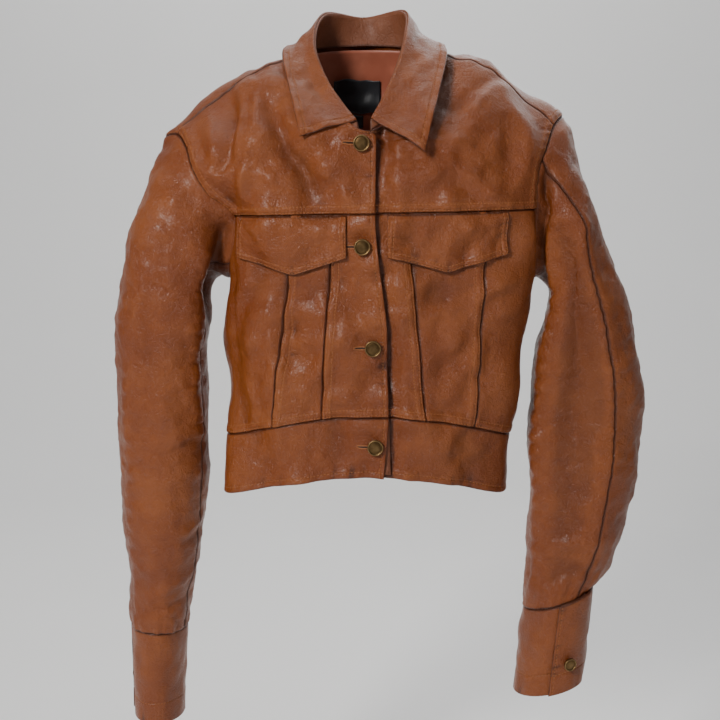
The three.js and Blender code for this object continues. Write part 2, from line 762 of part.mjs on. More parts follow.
const sideAngle = { right: 1.5 * Math.PI, left: quarterTurn };
const backCrossing = { right: Math.PI + ARMHOLE_ANGLE, left: Math.PI - ARMHOLE_ANGLE };
for (const side of SIDES) {
  const seam = backSeams[side];
  const surface = patch(
    backWaist(seam.bottomAngle, sideAngle[side]),
    chain(
      { curve: backYokeSeam(seam.topAngle, backCrossing[side]), share: 1 },
      { curve: backwards(stretch(armhole[side], ARMPIT, CROSSING_BACK)), share: 1 },
    ),
    seam.curve,
    (t) => body(sideAngle[side], lerp(waistZ(quarterTurn), -ARMPIT_DROP, t)),
  );
  add(`back_panel_${side}`, shell(surface, { nu: 6, nv: 6 }));
}

const backBand = patch(
  (u) => body(lerp(quarterTurn, 3 * quarterTurn, u), hemZ(lerp(quarterTurn, 3 * quarterTurn, u))),
  backWaist(quarterTurn, 3 * quarterTurn),
  (v) => body(quarterTurn, lerp(hemZ(quarterTurn), waistZ(quarterTurn), v)),
  (v) => body(3 * quarterTurn, lerp(hemZ(quarterTurn), waistZ(quarterTurn), v)),
);
add("back_waistband", shell(backBand, { nu: 14, nv: 2 }));

// Shoulder seams and back neck make the top edge of the back yoke, from left to right.
const backTop = chain(
  { curve: backwards(shoulderSeam.left), share: 3 },
  { curve: backwards(neckBack), share: 4 },
  { curve: shoulderSeam.right, share: 3 },
);
const backYoke = patch(
  backYokeSeam(backCrossing.left, backCrossing.right),
  backTop,
  stretch(armhole.left, CROSSING_BACK, 1 + SEAM_END),
  stretch(armhole.right, CROSSING_BACK, 1 + SEAM_END),
  {
    bottom: () => new THREE.Vector3(0, 0, 0.8),
    top: (u) => {
      const overShoulder = THREE.MathUtils.smoothstep(Math.abs(2 * u - 1), 0.35, 0.6);
      return new THREE.Vector3(0, lerp(-0.3, -0.9, overShoulder), lerp(0, -1.1, overShoulder));
    },
  },
);
add("back_yoke", shell(backYoke, { nu: 20, nv: 7, gapTop: 2 * SEAM_GAP }));

const backLiningOptions = { from: -LINING_SETBACK - LINING, to: -LINING_SETBACK };
const yokeLiningOptions = { nu: 14, nv: 6, ...backLiningOptions, gap: YOKE_LINING_GAP };
add("back_yoke_lining", shell(backYoke, yokeLiningOptions), "lining");
const backWhole = patch(
  backWaist(quarterTurn, 3 * quarterTurn),
  chain(
    { curve: stretch(armhole.left, ARMPIT, CROSSING_BACK), share: 1 },
    { curve: backYokeSeam(backCrossing.left, backCrossing.right), share: 4 },
    { curve: backwards(stretch(armhole.right, ARMPIT, CROSSING_BACK)), share: 1 },
  ),
  (t) => body(quarterTurn, lerp(waistZ(quarterTurn), -ARMPIT_DROP, t)),
  (t) => body(3 * quarterTurn, lerp(waistZ(quarterTurn), -ARMPIT_DROP, t)),
);
const panelLiningOptions = { nu: 12, nv: 5, ...backLiningOptions, gap: PANEL_LINING_GAP };
add("back_lining", shell(backWhole, panelLiningOptions), "lining");

// ---- Collar ----

const COLLAR_INSIDE = new THREE.Vector3(0, 5, -20);
const mirrorEnds = (right, back, left) => evenly([...right, ...back, ...[...left].reverse()]);
const neckSeam = mirrorEnds(
  [...NECK_FRONT.right, NECK_SIDE.right],
  NECK_BACK,
  [...NECK_FRONT.left, NECK_SIDE.left],
);
const rollLine = mirrorEnds(ROLL_FRONT.right, ROLL_BACK, ROLL_FRONT.left);
const stand = patch(
  neckSeam,
  rollLine,
  (v) => neckSeam(0).lerp(rollLine(0), v),
  (v) => neckSeam(1).lerp(rollLine(1), v),
);
add("collar_stand", shell(stand, {
  nu: 18, nv: 2, inside: COLLAR_INSIDE, gapBottom: STAND_GAP, gapTop: SEAM_GAP,
}));

// The fall turns over the roll line and lies outside the stand, longest at its two points.
const outerEdge = mirrorEnds(
  [COLLAR_TIP.right, ...COLLAR_EDGE.right],
  [COLLAR_BACK_EDGE],
  [COLLAR_TIP.left, ...COLLAR_EDGE.left],
);
const outwardAt = (u) => rollLine(u).sub(COLLAR_INSIDE).setZ(0).normalize();
const turned = (u) => rollLine(u)
  .addScaledVector(outwardAt(u), LEATHER + COLLAR_CLEARANCE)
  .add(new THREE.Vector3(0, 0, COLLAR_RISE));
const rolled = (u) => outwardAt(u).multiplyScalar(0.6).add(new THREE.Vector3(0, 0, 0.4));
const fall = patch(
  turned,
  outerEdge,
  (v) => turned(0).lerp(outerEdge(0), v),
  (v) => turned(1).lerp(outerEdge(1), v),
  { bottom: rolled, top: () => new THREE.Vector3(0, 0, -1) },
);
const FALL_OPTIONS = { nv: 5, inside: COLLAR_INSIDE, to: LEATHER };
const leafTurns = { right: [0, COLLAR_SPLIT], left: [1 - COLLAR_SPLIT, 1] };
for (const side of SIDES) {
  const [from, to] = leafTurns[side];
  add(`collar_leaf_${side}`, shell(fall, { ...FALL_OPTIONS, nu: 6, area: [from, to, 0, 1] }));
}
add("collar_back", shell(fall, { ...FALL_OPTIONS, nu: 7, area: [COLLAR_SPLIT, 1 - COLLAR_SPLIT, 0, 1] }));

// ---- Sleeves and cuffs ----

// A sleeve ring's point at a turn: 0 outermost, a quarter at the front, a half against the body.
function ringPoint(ring, turn, grow = 0) {
  const [outerX, outerZ] = ring.outer;
  const [innerX, innerZ] = ring.inner;
  const c = Math.cos(2 * Math.PI * turn);
  const s = Math.sin(2 * Math.PI * turn);
  const width = Math.hypot(outerX - innerX, outerZ - innerZ) / 2;
  const across = (c * (width + grow)) / width / 2;
  return new THREE.Vector3(
    (outerX + innerX) / 2 + across * (outerX - innerX),
    SLEEVE_CENTRE_Y - s * (ring.depth + grow),
    (outerZ + innerZ) / 2 + across * (outerZ - innerZ),
  );
}

// The armhole's own turns reach the armpit later than halfway.
const ringTurn = (turn) => {
  const whole = Math.floor(turn);
  const t = turn - whole;
  const half = t < ARMPIT ? (0.5 * t) / ARMPIT : 0.5 + (0.5 * (t - ARMPIT)) / (1 - ARMPIT);
  return whole + half;
};

function sleeveSurface(side, from, to) {
  return (u, v) => {
    const turn = lerp(from, to, u);
    const rings = SLEEVE_RINGS[side].map((ring) => ringPoint(ring, ringTurn(turn)));
    const start = armhole[side](turn - Math.floor(turn));
    return new THREE.CatmullRomCurve3([start, ...rings]).getPointAt(v);
  };
}

function orient(mesh, place, direction) {
  mesh.position.copy(place);
  mesh.quaternion.setFromUnitVectors(new THREE.Vector3(0, 1, 0), direction);
}

// A solid of revolution about Y from [radius, height] pairs that start and end on the axis.
function turnedSolid(profile, segments) {
  const points = profile.map(([r, y]) => new THREE.Vector2(r, y));
  return new THREE.LatheGeometry(points, segments);
}

// A domed button whose hub reaches down through the lap on to the layer under it.
function button(diameter, hub) {
  const radius = diameter / 2;
  const bore = TACK_DIAMETER / 2 + BUTTON_CLEARANCE;
  const top = hub + BUTTON_THICKNESS;
  const profile = [
    [0, hub + BUTTON_FLOOR],
    [bore, hub + BUTTON_FLOOR],
    [bore, 0],
    [HUB_DIAMETER / 2, 0],
    [HUB_DIAMETER / 2, hub],
    [radius, hub + BUTTON_BEVEL / 2],
    [radius, top - BUTTON_BEVEL],
    [radius - BUTTON_BEVEL, top],
    [0, top],
  ];
  return turnedSolid(profile, 14);
}

function tack(length) {
  const pin = TACK_DIAMETER / 2;
  const head = TACK_HEAD_DIAMETER / 2;
  const profile = [
    [0, 0],
    [head, 0],
    [head, TACK_HEAD_THICKNESS],
    [pin, TACK_HEAD_THICKNESS],
    [pin, length],
    [0, length],
  ];
  return turnedSolid(profile, 10);
}

// Places a button and its tack on an axis, given the base of the layer that the tack holds and
// how far the upper layer's outer face stands above it.
function fasten(name, base, direction, { backing, lap, diameter }) {
  const hub = lap - LEATHER;
  const buttonMesh = add(name, button(diameter, hub), "brass");
  orient(buttonMesh, base.clone().addScaledVector(direction, LEATHER + BUTTON_SEAT_GAP), direction);
  const below = backing + BUTTON_CLEARANCE + TACK_HEAD_THICKNESS;
  const tackMesh = add(`${name}_tack`, tack(below + LEATHER + BUTTON_CLEARANCE + hub), "brass");
  orient(tackMesh, base.clone().addScaledVector(direction, -below), direction);
}

const forward = new THREE.Vector3(0, -1, 0);
buttonPlaces.forEach((place, i) => {
  const base = new THREE.Vector3(place.x, place.left, place.z);
  const lap = place.left - place.right + LEATHER + BUTTON_CLEARANCE;
  fasten(`front_button_${i + 1}`, base, forward, {
    backing: FACING_GAP + FACING + 2 * LAYER_GAP, lap, diameter: BUTTON_DIAMETER,
  });
});

for (const side of SIDES) {
  const [first, second] = SLEEVE_SEAMS[side];
  const top = sleeveSurface(side, second - 1, first);
  const under = sleeveSurface(side, first, second);
  const middle = top(0.5, 0.6).lerp(under(0.5, 0.6), 0.5);
  const options = { nu: 7, nv: 10, inside: middle, gapBottom: ARMHOLE_GAP };
  add(`${side}_sleeve_top`, shell(top, options));
  add(`${side}_sleeve_under`, shell(under, options));
  add(`${side}_sleeve_lining`, shell(sleeveSurface(side, 0, 1), {
    nu: 12,
    nv: 9,
    from: -LINING_SETBACK - LINING,
    to: -LINING_SETBACK,
    gapBottom: SLEEVE_LINING_START,
    gapTop: PANEL_LINING_GAP,
    inside: middle,
    round: true,
  }), "lining");

  // The cuff: a band whose upper end laps the lower one at the opening.
  const rings = SLEEVE_RINGS[side];
  const cuffStart = rings[rings.length - 1];
  const opening = CUFF_OPENING[side];
  const lift = LEATHER + 2 * LAYER_GAP;
  const turns = 1 + 2 * CUFF_LAP;
  const cuffSurface = (u, v) => {
    const turn = opening - CUFF_LAP + turns * u;
    const rise = THREE.MathUtils.smoothstep(u * turns, 1 - CUFF_LAP, 1);
    const high = ringPoint(cuffStart, turn, lift * rise);
    const low = ringPoint(CUFF_END[side], turn, lift * rise);
    return low.lerp(high, v);
  };
  const flatCuff = (v, grow) => ringPoint(CUFF_END[side], opening, grow)
    .lerp(ringPoint(cuffStart, opening, grow), v);
  const base = flatCuff(CUFF_BUTTON_HEIGHT, 0);
  const cuffMiddle = flatCuff(0.5, 0).lerp(
    ringPoint(CUFF_END[side], opening + 0.5).lerp(ringPoint(cuffStart, opening + 0.5), 0.5), 0.5);
  const band = shell(cuffSurface, { nu: 22, nv: 2, inside: cuffMiddle, gapTop: CUFF_GAP, gapBottom: 0 });
  const h = 0.01;
  const along = ringPoint(cuffStart, opening + h).sub(ringPoint(cuffStart, opening - h));
  const down = flatCuff(0, 0).sub(flatCuff(1, 0));
  const direction = along.cross(down).normalize();
  if (direction.dot(base.clone().sub(cuffMiddle)) < 0) {
    direction.negate();
  }
  const holeRadius = HUB_DIAMETER / 2 + BUTTON_CLEARANCE;
  const upper = new THREE.CylinderGeometry(holeRadius, holeRadius, 2 * LEATHER, 14);
  const lower = new THREE.CylinderGeometry(holeRadius, holeRadius, 2 * LEATHER, 14);
  const toAxis = new THREE.Quaternion().setFromUnitVectors(new THREE.Vector3(0, 1, 0), direction);
  const centreUpper = base.clone().addScaledVector(direction, lift + LEATHER / 2);
  upper.applyQuaternion(toAxis).translate(centreUpper.x, centreUpper.y, centreUpper.z);
  const pinRadius = TACK_DIAMETER / 2 + BUTTON_CLEARANCE;
  lower.scale(pinRadius / holeRadius, 1, pinRadius / holeRadius);
  const centreLower = base.clone().addScaledVector(direction, LEATHER / 2);
  lower.applyQuaternion(toAxis).translate(centreLower.x, centreLower.y, centreLower.z);
  add(`${side}_cuff`, cut(band, upper, lower));
  fasten(`${side}_cuff_button`, base, direction, {
    backing: LAYER_GAP, lap: lift + LEATHER + BUTTON_CLEARANCE, diameter: CUFF_BUTTON_DIAMETER,
  });
}

// ---- Label and size tab on the back neck lining ----

function patchOnBack(width, height, centreX, top) {
  const behind = -LINING_SETBACK - LINING - 2 * LAYER_GAP;
  const surface = (u, v) => locate(
    backYoke,
    centreX + width * (u - 0.5),
    -top - height * (1 - v),
  );
  return shell(surface, { nu: 3, nv: 2, from: behind - LABEL_THICKNESS, to: behind, gap: 0 });
}

add("neck_label", patchOnBack(LABEL.width, LABEL.height, LABEL.x, LABEL.drop), "label");
const tabDrop = LABEL.drop + LABEL.height + SIZE_TAB.gap;
add("size_tab", patchOnBack(SIZE_TAB.width, SIZE_TAB.height, LABEL.x, tabDrop), "label");

export default jacket;
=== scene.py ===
"""Leather riding jacket: its panels as cut, sewn and hung, with their seams, folds and finishes.

Lengths are in millimetres, and each mesh is scaled to metres as it is made. +Z is up, the wearer
faces -Y, and the wearer's right is at -X. The origin is where a hook carries the jacket.
"""

import json
import logging
import math
from dataclasses import dataclass, field
from enum import Enum
from typing import Callable, Optional, Sequence

import bpy
import numpy as np
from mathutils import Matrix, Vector


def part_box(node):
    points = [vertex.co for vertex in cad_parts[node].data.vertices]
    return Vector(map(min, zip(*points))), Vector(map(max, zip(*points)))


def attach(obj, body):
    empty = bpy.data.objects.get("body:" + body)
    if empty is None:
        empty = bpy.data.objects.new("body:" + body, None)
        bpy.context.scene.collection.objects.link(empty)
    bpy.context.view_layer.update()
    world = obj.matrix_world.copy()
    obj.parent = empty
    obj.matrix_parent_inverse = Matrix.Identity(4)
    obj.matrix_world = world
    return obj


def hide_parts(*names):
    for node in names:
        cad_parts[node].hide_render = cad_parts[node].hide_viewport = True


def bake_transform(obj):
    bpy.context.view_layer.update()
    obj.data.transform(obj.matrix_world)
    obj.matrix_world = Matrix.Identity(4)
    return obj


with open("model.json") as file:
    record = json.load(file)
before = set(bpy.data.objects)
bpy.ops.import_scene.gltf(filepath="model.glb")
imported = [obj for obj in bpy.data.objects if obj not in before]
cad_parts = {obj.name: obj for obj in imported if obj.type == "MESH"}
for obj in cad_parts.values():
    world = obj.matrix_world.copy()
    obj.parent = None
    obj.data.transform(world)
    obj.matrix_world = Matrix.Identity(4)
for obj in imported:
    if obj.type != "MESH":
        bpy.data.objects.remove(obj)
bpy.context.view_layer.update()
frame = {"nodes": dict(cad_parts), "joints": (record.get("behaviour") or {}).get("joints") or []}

log = logging.getLogger("jacket")

Array = np.ndarray
Curve = Callable[[Array], Array]
Surface = Callable[[Array, Array], Array]
Relief = Callable[[Array], Array]

METRE = 1000.0
QUARTER = math.pi / 2


class Side(Enum):
    """The wearer's right or left."""

    RIGHT = "right"
    LEFT = "left"

    @property
    def sign(self) -> int:
        """The side's direction along X."""
        return -1 if self is Side.RIGHT else 1


# ---- Numbers, curves and surfaces ----


def lerp(low: Array, high: Array, share: Array) -> Array:
    """The value a share of the way from low to high."""
    return low + (high - low) * share


def smooth(value: Array, low: float, high: float) -> Array:
    """An eased step from 0 at low to 1 at high."""
    t = np.clip((np.asarray(value, float) - low) / (high - low), 0.0, 1.0)
    return t * t * (3 - 2 * t)


def point(x: Array, y: Array, z: Array) -> Array:
    """Points from three coordinates that broadcast together."""
    return np.stack(np.broadcast_arrays(x, y, z), axis=-1).astype(float)


def length_of(vectors: Array) -> Array:
    """The length of each vector."""
    return np.linalg.norm(vectors, axis=-1)


def unit(vectors: Array) -> Array:
    """Each vector scaled to length one."""
    return vectors / np.maximum(length_of(vectors), 1e-9)[..., None]


class Spline:
    """A centripetal Catmull-Rom curve through points, or one such curve for each row of a batch."""

    def __init__(self, points: Sequence, closed: bool = False) -> None:
        """Works out each segment's polynomial.

        Args:
            points: the points, in an array whose last two axes are point and coordinate.
            closed: whether the last point joins the first.
        """
        p1 = np.asarray(points, float)
        if closed:
            before = np.roll(p1, 1, axis=-2)
            after = np.roll(p1, -1, axis=-2)
            later = np.roll(p1, -2, axis=-2)
        else:
            first = 2 * p1[..., :1, :] - p1[..., 1:2, :]
            last = 2 * p1[..., -1:, :] - p1[..., -2:-1, :]
            whole = np.concatenate([first, p1, last], axis=-2)
            before, p1, after, later = (
                whole[..., i : whole.shape[-2] - 3 + i, :] for i in range(4)
            )
        steps = [
            np.maximum(length_of(b - a), 1e-6)[..., None] ** 0.5
            for a, b in ((before, p1), (p1, after), (after, later))
        ]
        d0, d1, d2 = steps
        t1 = ((p1 - before) / d0 - (after - before) / (d0 + d1) + (after - p1) / d1) * d1
        t2 = ((after - p1) / d1 - (later - p1) / (d1 + d2) + (later - after) / d2) * d1
        self.terms = np.stack(
            [p1, t1, 3 * (after - p1) - 2 * t1 - t2, 2 * (p1 - after) + t1 + t2], axis=-2
        )
        self.count = self.terms.shape[-3]

    def _place(self, t: Array) -> tuple[Array, Array]:
        """The segment that each parameter falls in, and how far along it."""
        scaled = np.clip(t, 0.0, 1.0) * self.count
        index = np.minimum(scaled.astype(int), self.count - 1)
        return index, scaled - index

    def at(self, t: Array) -> Array:
        """The points at parameters that step evenly from point to point."""
        index, w = self._place(np.asarray(t, float))
        if self.terms.ndim == 3:
            terms = self.terms[index]
        else:
            terms = np.take_along_axis(self.terms, index[..., None, None, None], axis=-3)[..., 0, :, :]
        powers = np.stack([np.ones_like(w), w, w * w, w**3], axis=-1)
        return (terms * powers[..., None]).sum(axis=-2)

    def evenly(self, t: Array) -> Array:
        """The points at shares of the curve's length."""
        t = np.asarray(t, float)
        knots = np.linspace(0.0, 1.0, self.count * 12 + 1)
        if self.terms.ndim == 3:
            run = np.concatenate([[0.0], np.cumsum(length_of(np.diff(self.at(knots), axis=0)))])
            return self.at(np.interp(t, run / run[-1], knots))
        index, w = self._place(knots)
        powers = np.stack([np.ones_like(w), w, w * w, w**3], axis=-1)
        path = (self.terms[..., index, :, :] * powers[..., None]).sum(axis=-2)
        run = np.cumsum(length_of(np.diff(path, axis=-2)), axis=-1)
        run = np.concatenate([np.zeros(run.shape[:-1] + (1,)), run], axis=-1)
        goal = (t * run[..., -1])[..., None]
        upper = np.clip((run < goal).sum(axis=-1), 1, len(knots) - 1)[..., None]
        low = np.take_along_axis(run, upper - 1, axis=-1)
        high = np.take_along_axis(run, upper, axis=-1)
        share = ((goal - low) / np.maximum(high - low, 1e-9))[..., 0]
        upper = upper[..., 0]
        return self.at(lerp(knots[upper - 1], knots[upper], share))


def through(points: Sequence, closed: bool = False) -> Curve:
    """A curve through points, its parameter even from point to point."""
    return Spline(points, closed).at


def evenly(points: Sequence) -> Curve:
    """A curve through points, its parameter even along its length."""
    return Spline(points).evenly


def stretch(curve: Curve, start: float, end: float) -> Curve:
    """The part of a curve between two parameters, which may run past one turn."""
    return lambda t: curve(np.mod(lerp(start, end, t), 1.0 + 1e-12))


def backwards(curve: Curve) -> Curve:
    """The same curve from its other end."""
    return lambda t: curve(1 - np.asarray(t, float))


def chain(*links: tuple[Curve, float]) -> Curve:
    """Curves end to end, each with its share of the whole parameter."""
    total = sum(share for _, share in links)

    def whole(t: Array) -> Array:
        t = np.asarray(t, float)
        result = np.zeros(t.shape + (3,))
        start = 0.0
        for curve, share in links:
            width = share / total
            inside = (t >= start - 1e-9) & (t <= start + width + 1e-9)
            here = curve(np.clip((t - start) / width, 0, 1))
            result = np.where(inside[..., None], here, result)
            start += width
        return result

    return whole


def patch(bottom: Curve, top: Curve, left: Curve, right: Curve,
          lean: Optional[tuple[Curve, Curve]] = None) -> Surface:
    """The surface between four curves.

    Args:
        bottom: the curve at v 0, from left to right.
        top: the curve at v 1.
        left: the curve at u 0, from bottom to top.
        right: the curve at u 1.
        lean: the slopes across v at the bottom and the top, in shares of the distance across.

    Returns:
        The surface as a function of u and v.
    """

    def across(u: Array, v: Array) -> Array:
        low, high = bottom(u), top(u)
        w = v[..., None]
        if lean is None:
            return lerp(low, high, w)
        reach = length_of(high - low)[..., None]
        return (
            low * (2 * w**3 - 3 * w**2 + 1)
            + lean[0](u) * reach * (w**3 - 2 * w**2 + w)
            + high * (3 * w**2 - 2 * w**3)
            + lean[1](u) * reach * (w**3 - w**2)
        )

    def surface(u: Array, v: Array) -> Array:
        u, v = np.broadcast_arrays(np.asarray(u, float), np.asarray(v, float))
        zero, one = np.zeros_like(u), np.ones_like(u)
        to_left = left(v) - across(zero, v)
        to_right = right(v) - across(one, v)
        return across(u, v) + to_left * (1 - u)[..., None] + to_right * u[..., None]

    return surface


def inset(surface: Surface, u0: float, u1: float, v0: float, v1: float) -> Surface:
    """The part of a surface between two parameters each way."""
    return lambda u, v: surface(lerp(u0, u1, u), lerp(v0, v1, v))


def steady(x: float, y: float, z: float) -> Curve:
    """The same vector at every parameter."""
    return lambda t: np.broadcast_to(np.array([x, y, z], float), np.shape(t) + (3,))


def waves(points: Array, wavelength: float, seed: int, count: int = 18) -> Array:
    """A smooth field of hills and hollows.

    Args:
        points: where it is wanted.
        wavelength: about how far apart the hills are.
        seed: which field.
        count: how many plane waves make it.

    Returns:
        The height at each point, mostly between -1 and 1.
    """
    rng = np.random.default_rng(seed)
    aims = unit(rng.normal(size=(count, 3)))
    pitch = 2 * math.pi / (wavelength * rng.uniform(0.7, 1.5, count))
    phase = rng.uniform(0, 2 * math.pi, count)
    total = sum(np.sin(points @ (aims[i] * pitch[i]) + phase[i]) for i in range(count))
    return total * (1.4 / math.sqrt(count))


# ---- The body's cross-section and the curves its pieces share ----

LEATHER = 2.0
LAP_DEPTH = 6.4
SEAM_END = 1 / 12
CROSSING_FRONT = 5 / 12
ARMPIT = 7 / 12
CROSSING_BACK = 9 / 12


@dataclass(frozen=True)
class Torso:
    """The body's cross-section, its seam heights and the curves that its pieces are sewn along."""

    length: float = 493
    band: float = 66
    waist_arch: float = 30
    back_arch: float = 6
    yoke_drop: float = 184
    yoke_tilt: float = 0.02
    back_yoke_drop: float = 168
    armpit_drop: float = 255
    front_depth: float = 88
    back_depth: float = 76
    roundness: float = 0.6
    overlap: float = 36
    armhole_angle: float = math.radians(72)
    neck_drop: float = 102
    neck_y: float = -79
    edge_stops: tuple = ((-102, 12), (-184, 11), (-325, 24), (-493, 28))
    chest: tuple = (-145, 188)
    waist: tuple = (-147, 162)
    hem: tuple = (-153, 155)
    tips: tuple = ((-216, 6, -106), (214, 6, -84))
    ends: tuple = ((-200, -14, -103), (202, -16, -94))
    armhole_front: tuple = (
        ((-188, -33, -118), (-181, -45, -137), (-166, -51, -162)),
        ((191, -37, -118), (183, -47, -136), (180, -50, -160)),
    )
    armhole_back: tuple = (
        ((-176, 48, -140), (-203, 30, -116)),
        ((194, 46, -132), (209, 28, -98)),
    )
    shoulder: tuple = (
        ((-92, -5, -28), (-134, -8, -47), (-172, -12, -80)),
        ((92, -5, -25), (136, -8, -44), (176, -11, -70)),
    )
    neck_front: tuple = (
        ((-6, -78, -99), (-32, -64, -82), (-57, -36, -54)),
        ((6, -78, -99), (32, -64, -82), (56, -36, -53)),
    )
    neck_side: tuple = ((-71, 2, -20), (70, 2, -18))
    neck_back: tuple = ((-54, 40, -9), (0, 57, -5), (53, 40, -8))

    @staticmethod
    def pick(pair: tuple, side: Side) -> tuple:
        """The side's own entry of a right and left pair."""
        return pair[0] if side is Side.RIGHT else pair[1]

    @property
    def waist_z(self) -> float:
        """The height of the waist seam at the side seams."""
        return -(self.length - self.band)

    def edge(self, side: Side, z: Array) -> Array:
        """How far out the side seam line lies at a height."""
        z = np.asarray(z, float)
        chest, waist, hem = (self.pick(pair, side) for pair in (self.chest, self.waist, self.hem))
        share = np.clip((z + self.yoke_drop) / (self.waist_z + self.yoke_drop), 0, 1)
        above = lerp(chest, waist, share)
        below = lerp(waist, hem, (self.waist_z - z) / self.band)
        return np.where(z > self.waist_z, above, below)

    def section(self, angle: Array, z: Array) -> Array:
        """A point of the body at an angle from the centre front."""
        right, left = self.edge(Side.RIGHT, z), self.edge(Side.LEFT, z)
        c = np.cos(angle)
        depth = np.where(c > 0, -self.front_depth, self.back_depth)
        x = (right + left) / 2 + (left - right) / 2 * np.sin(angle)
        return point(x, depth * np.abs(c) ** self.roundness, z)

    def angle(self, x: Array, z: Array) -> Array:
        """The angle of the front point at x and z."""
        right, left = self.edge(Side.RIGHT, z), self.edge(Side.LEFT, z)
        return np.arcsin(np.clip((2 * x - right - left) / (left - right), -1, 1))

    def yoke_z(self, x: Array) -> Array:
        """The height of the front yoke seam."""
        return -self.yoke_drop + self.yoke_tilt * x

    def waist_seam_z(self, angle: Array) -> Array:
        """The height of the waist seam, which arches at the front and a little at the back."""
        c = np.cos(angle)
        return self.waist_z + np.where(c > 0, self.waist_arch, self.back_arch) * c**2

    def hem_z(self, angle: Array) -> Array:
        """The height of the hem."""
        return self.waist_seam_z(angle) - self.band

    def edge_x(self, z: Array) -> Array:
        """Where the upper front edge lies."""
        z = np.asarray(z, float)
        result = np.full(z.shape, float(self.edge_stops[0][1]))
        for (z0, x0), (z1, x1) in zip(self.edge_stops, self.edge_stops[1:]):
            result = np.where(z <= z0, lerp(x0, x1, smooth(z0 - z, 0, z0 - z1)), result)
        return result

    def own_edge_x(self, side: Side, z: Array) -> Array:
        """Where a side's own front edge lies: the left one is under the lap."""
        return self.edge_x(z) - (self.overlap if side is Side.LEFT else 0)

    def underlap(self, side: Side, x: Array, z: Array) -> Array:
        """How far the left front sinks under the right one."""
        if side is Side.RIGHT:
            return np.zeros(np.broadcast(x, z).shape)
        return LAP_DEPTH * (1 - smooth(x - self.edge_x(z), 4, 24))

    def front(self, side: Side, x: Array, z: Array) -> Array:
        """The front's point at x and z."""
        result = self.section(self.angle(x, z), z)
        result[..., 1] += self.underlap(side, x, z)
        return result

    def armhole(self, side: Side) -> Curve:
        """The armhole seam, from the shoulder tip round the front, under the arm and up the back."""
        s = side.sign
        quarter, bend = s * QUARTER, s * self.armhole_angle
        low = lerp(quarter, bend, 0.45)
        crossing = self.section(bend, self.yoke_z(self.pick(self.chest, side)))
        front_low = self.section(low, lerp(-self.armpit_drop, -self.yoke_drop, 0.26))
        armpit = self.section(quarter, -self.armpit_drop)
        back_low = self.section(math.pi - low, lerp(-self.armpit_drop, -self.back_yoke_drop, 0.26))
        back_crossing = self.section(math.pi - bend, -self.back_yoke_drop)
        points = [
            self.pick(self.tips, side),
            self.pick(self.ends, side),
            *self.pick(self.armhole_front, side),
            crossing,
            front_low,
            armpit,
            back_low,
            back_crossing,
            *self.pick(self.armhole_back, side),
        ]
        return through(points, closed=True)

    def shoulder_seam(self, side: Side) -> Curve:
        """The shoulder seam, from the neck outwards."""
        pick = self.pick
        return evenly([pick(self.neck_side, side), *pick(self.shoulder, side), pick(self.ends, side)])

    def neck_front_seam(self, side: Side) -> Curve:
        """The neck seam from the centre front to the shoulder seam."""
        return evenly([*self.pick(self.neck_front, side), self.pick(self.neck_side, side)])

    def neck_back_seam(self) -> Curve:
        """The neck seam across the back, from the wearer's right."""
        return evenly([self.neck_side[0], *self.neck_back, self.neck_side[1]])


TORSO = Torso()

# ---- Folds ----


@dataclass(frozen=True)
class Crease:
    """A ridge or valley along a line of points in a plane of two coordinates."""

    line: tuple
    height: float
    width: float
    skew: float = 0.0

    def relief(self, a: Array, b: Array) -> Array:
        """The crease's height at places in its plane, faded out at both ends.

        Args:
            a: first coordinate.
            b: second coordinate.

        Returns:
            The height at each place.
        """
        ends = np.array([(*p, 0.0) for p in self.line], float)
        path = Spline(ends).evenly(np.linspace(0, 1, 25))[:, :2]
        gap = np.stack([a, b], axis=-1)[..., None, :] - path
        distance = length_of(gap)
        nearest = distance.argmin(axis=-1)
        share = nearest / (len(path) - 1)
        along = np.gradient(path, axis=0)[nearest]
        chosen = np.take_along_axis(gap, nearest[..., None, None], axis=-2)[..., 0, :]
        turn = along[..., 0] * chosen[..., 1] - along[..., 1] * chosen[..., 0]
        width = self.width * (1 + self.skew * np.tanh(turn / (length_of(along) * self.width)))
        across = distance.min(axis=-1) / width
        fade = np.sin(math.pi * np.clip(share * 0.86 + 0.07, 0, 1)) ** 0.8
        return self.height * fade * np.exp(-np.abs(across) ** 1.7)


def total_relief(creases: Sequence[Crease], a: Array, b: Array) -> Array:
    """The summed height of several creases."""
    result = np.zeros(np.shape(a))
    for crease in creases:
        result = result + crease.relief(a, b)
    return result


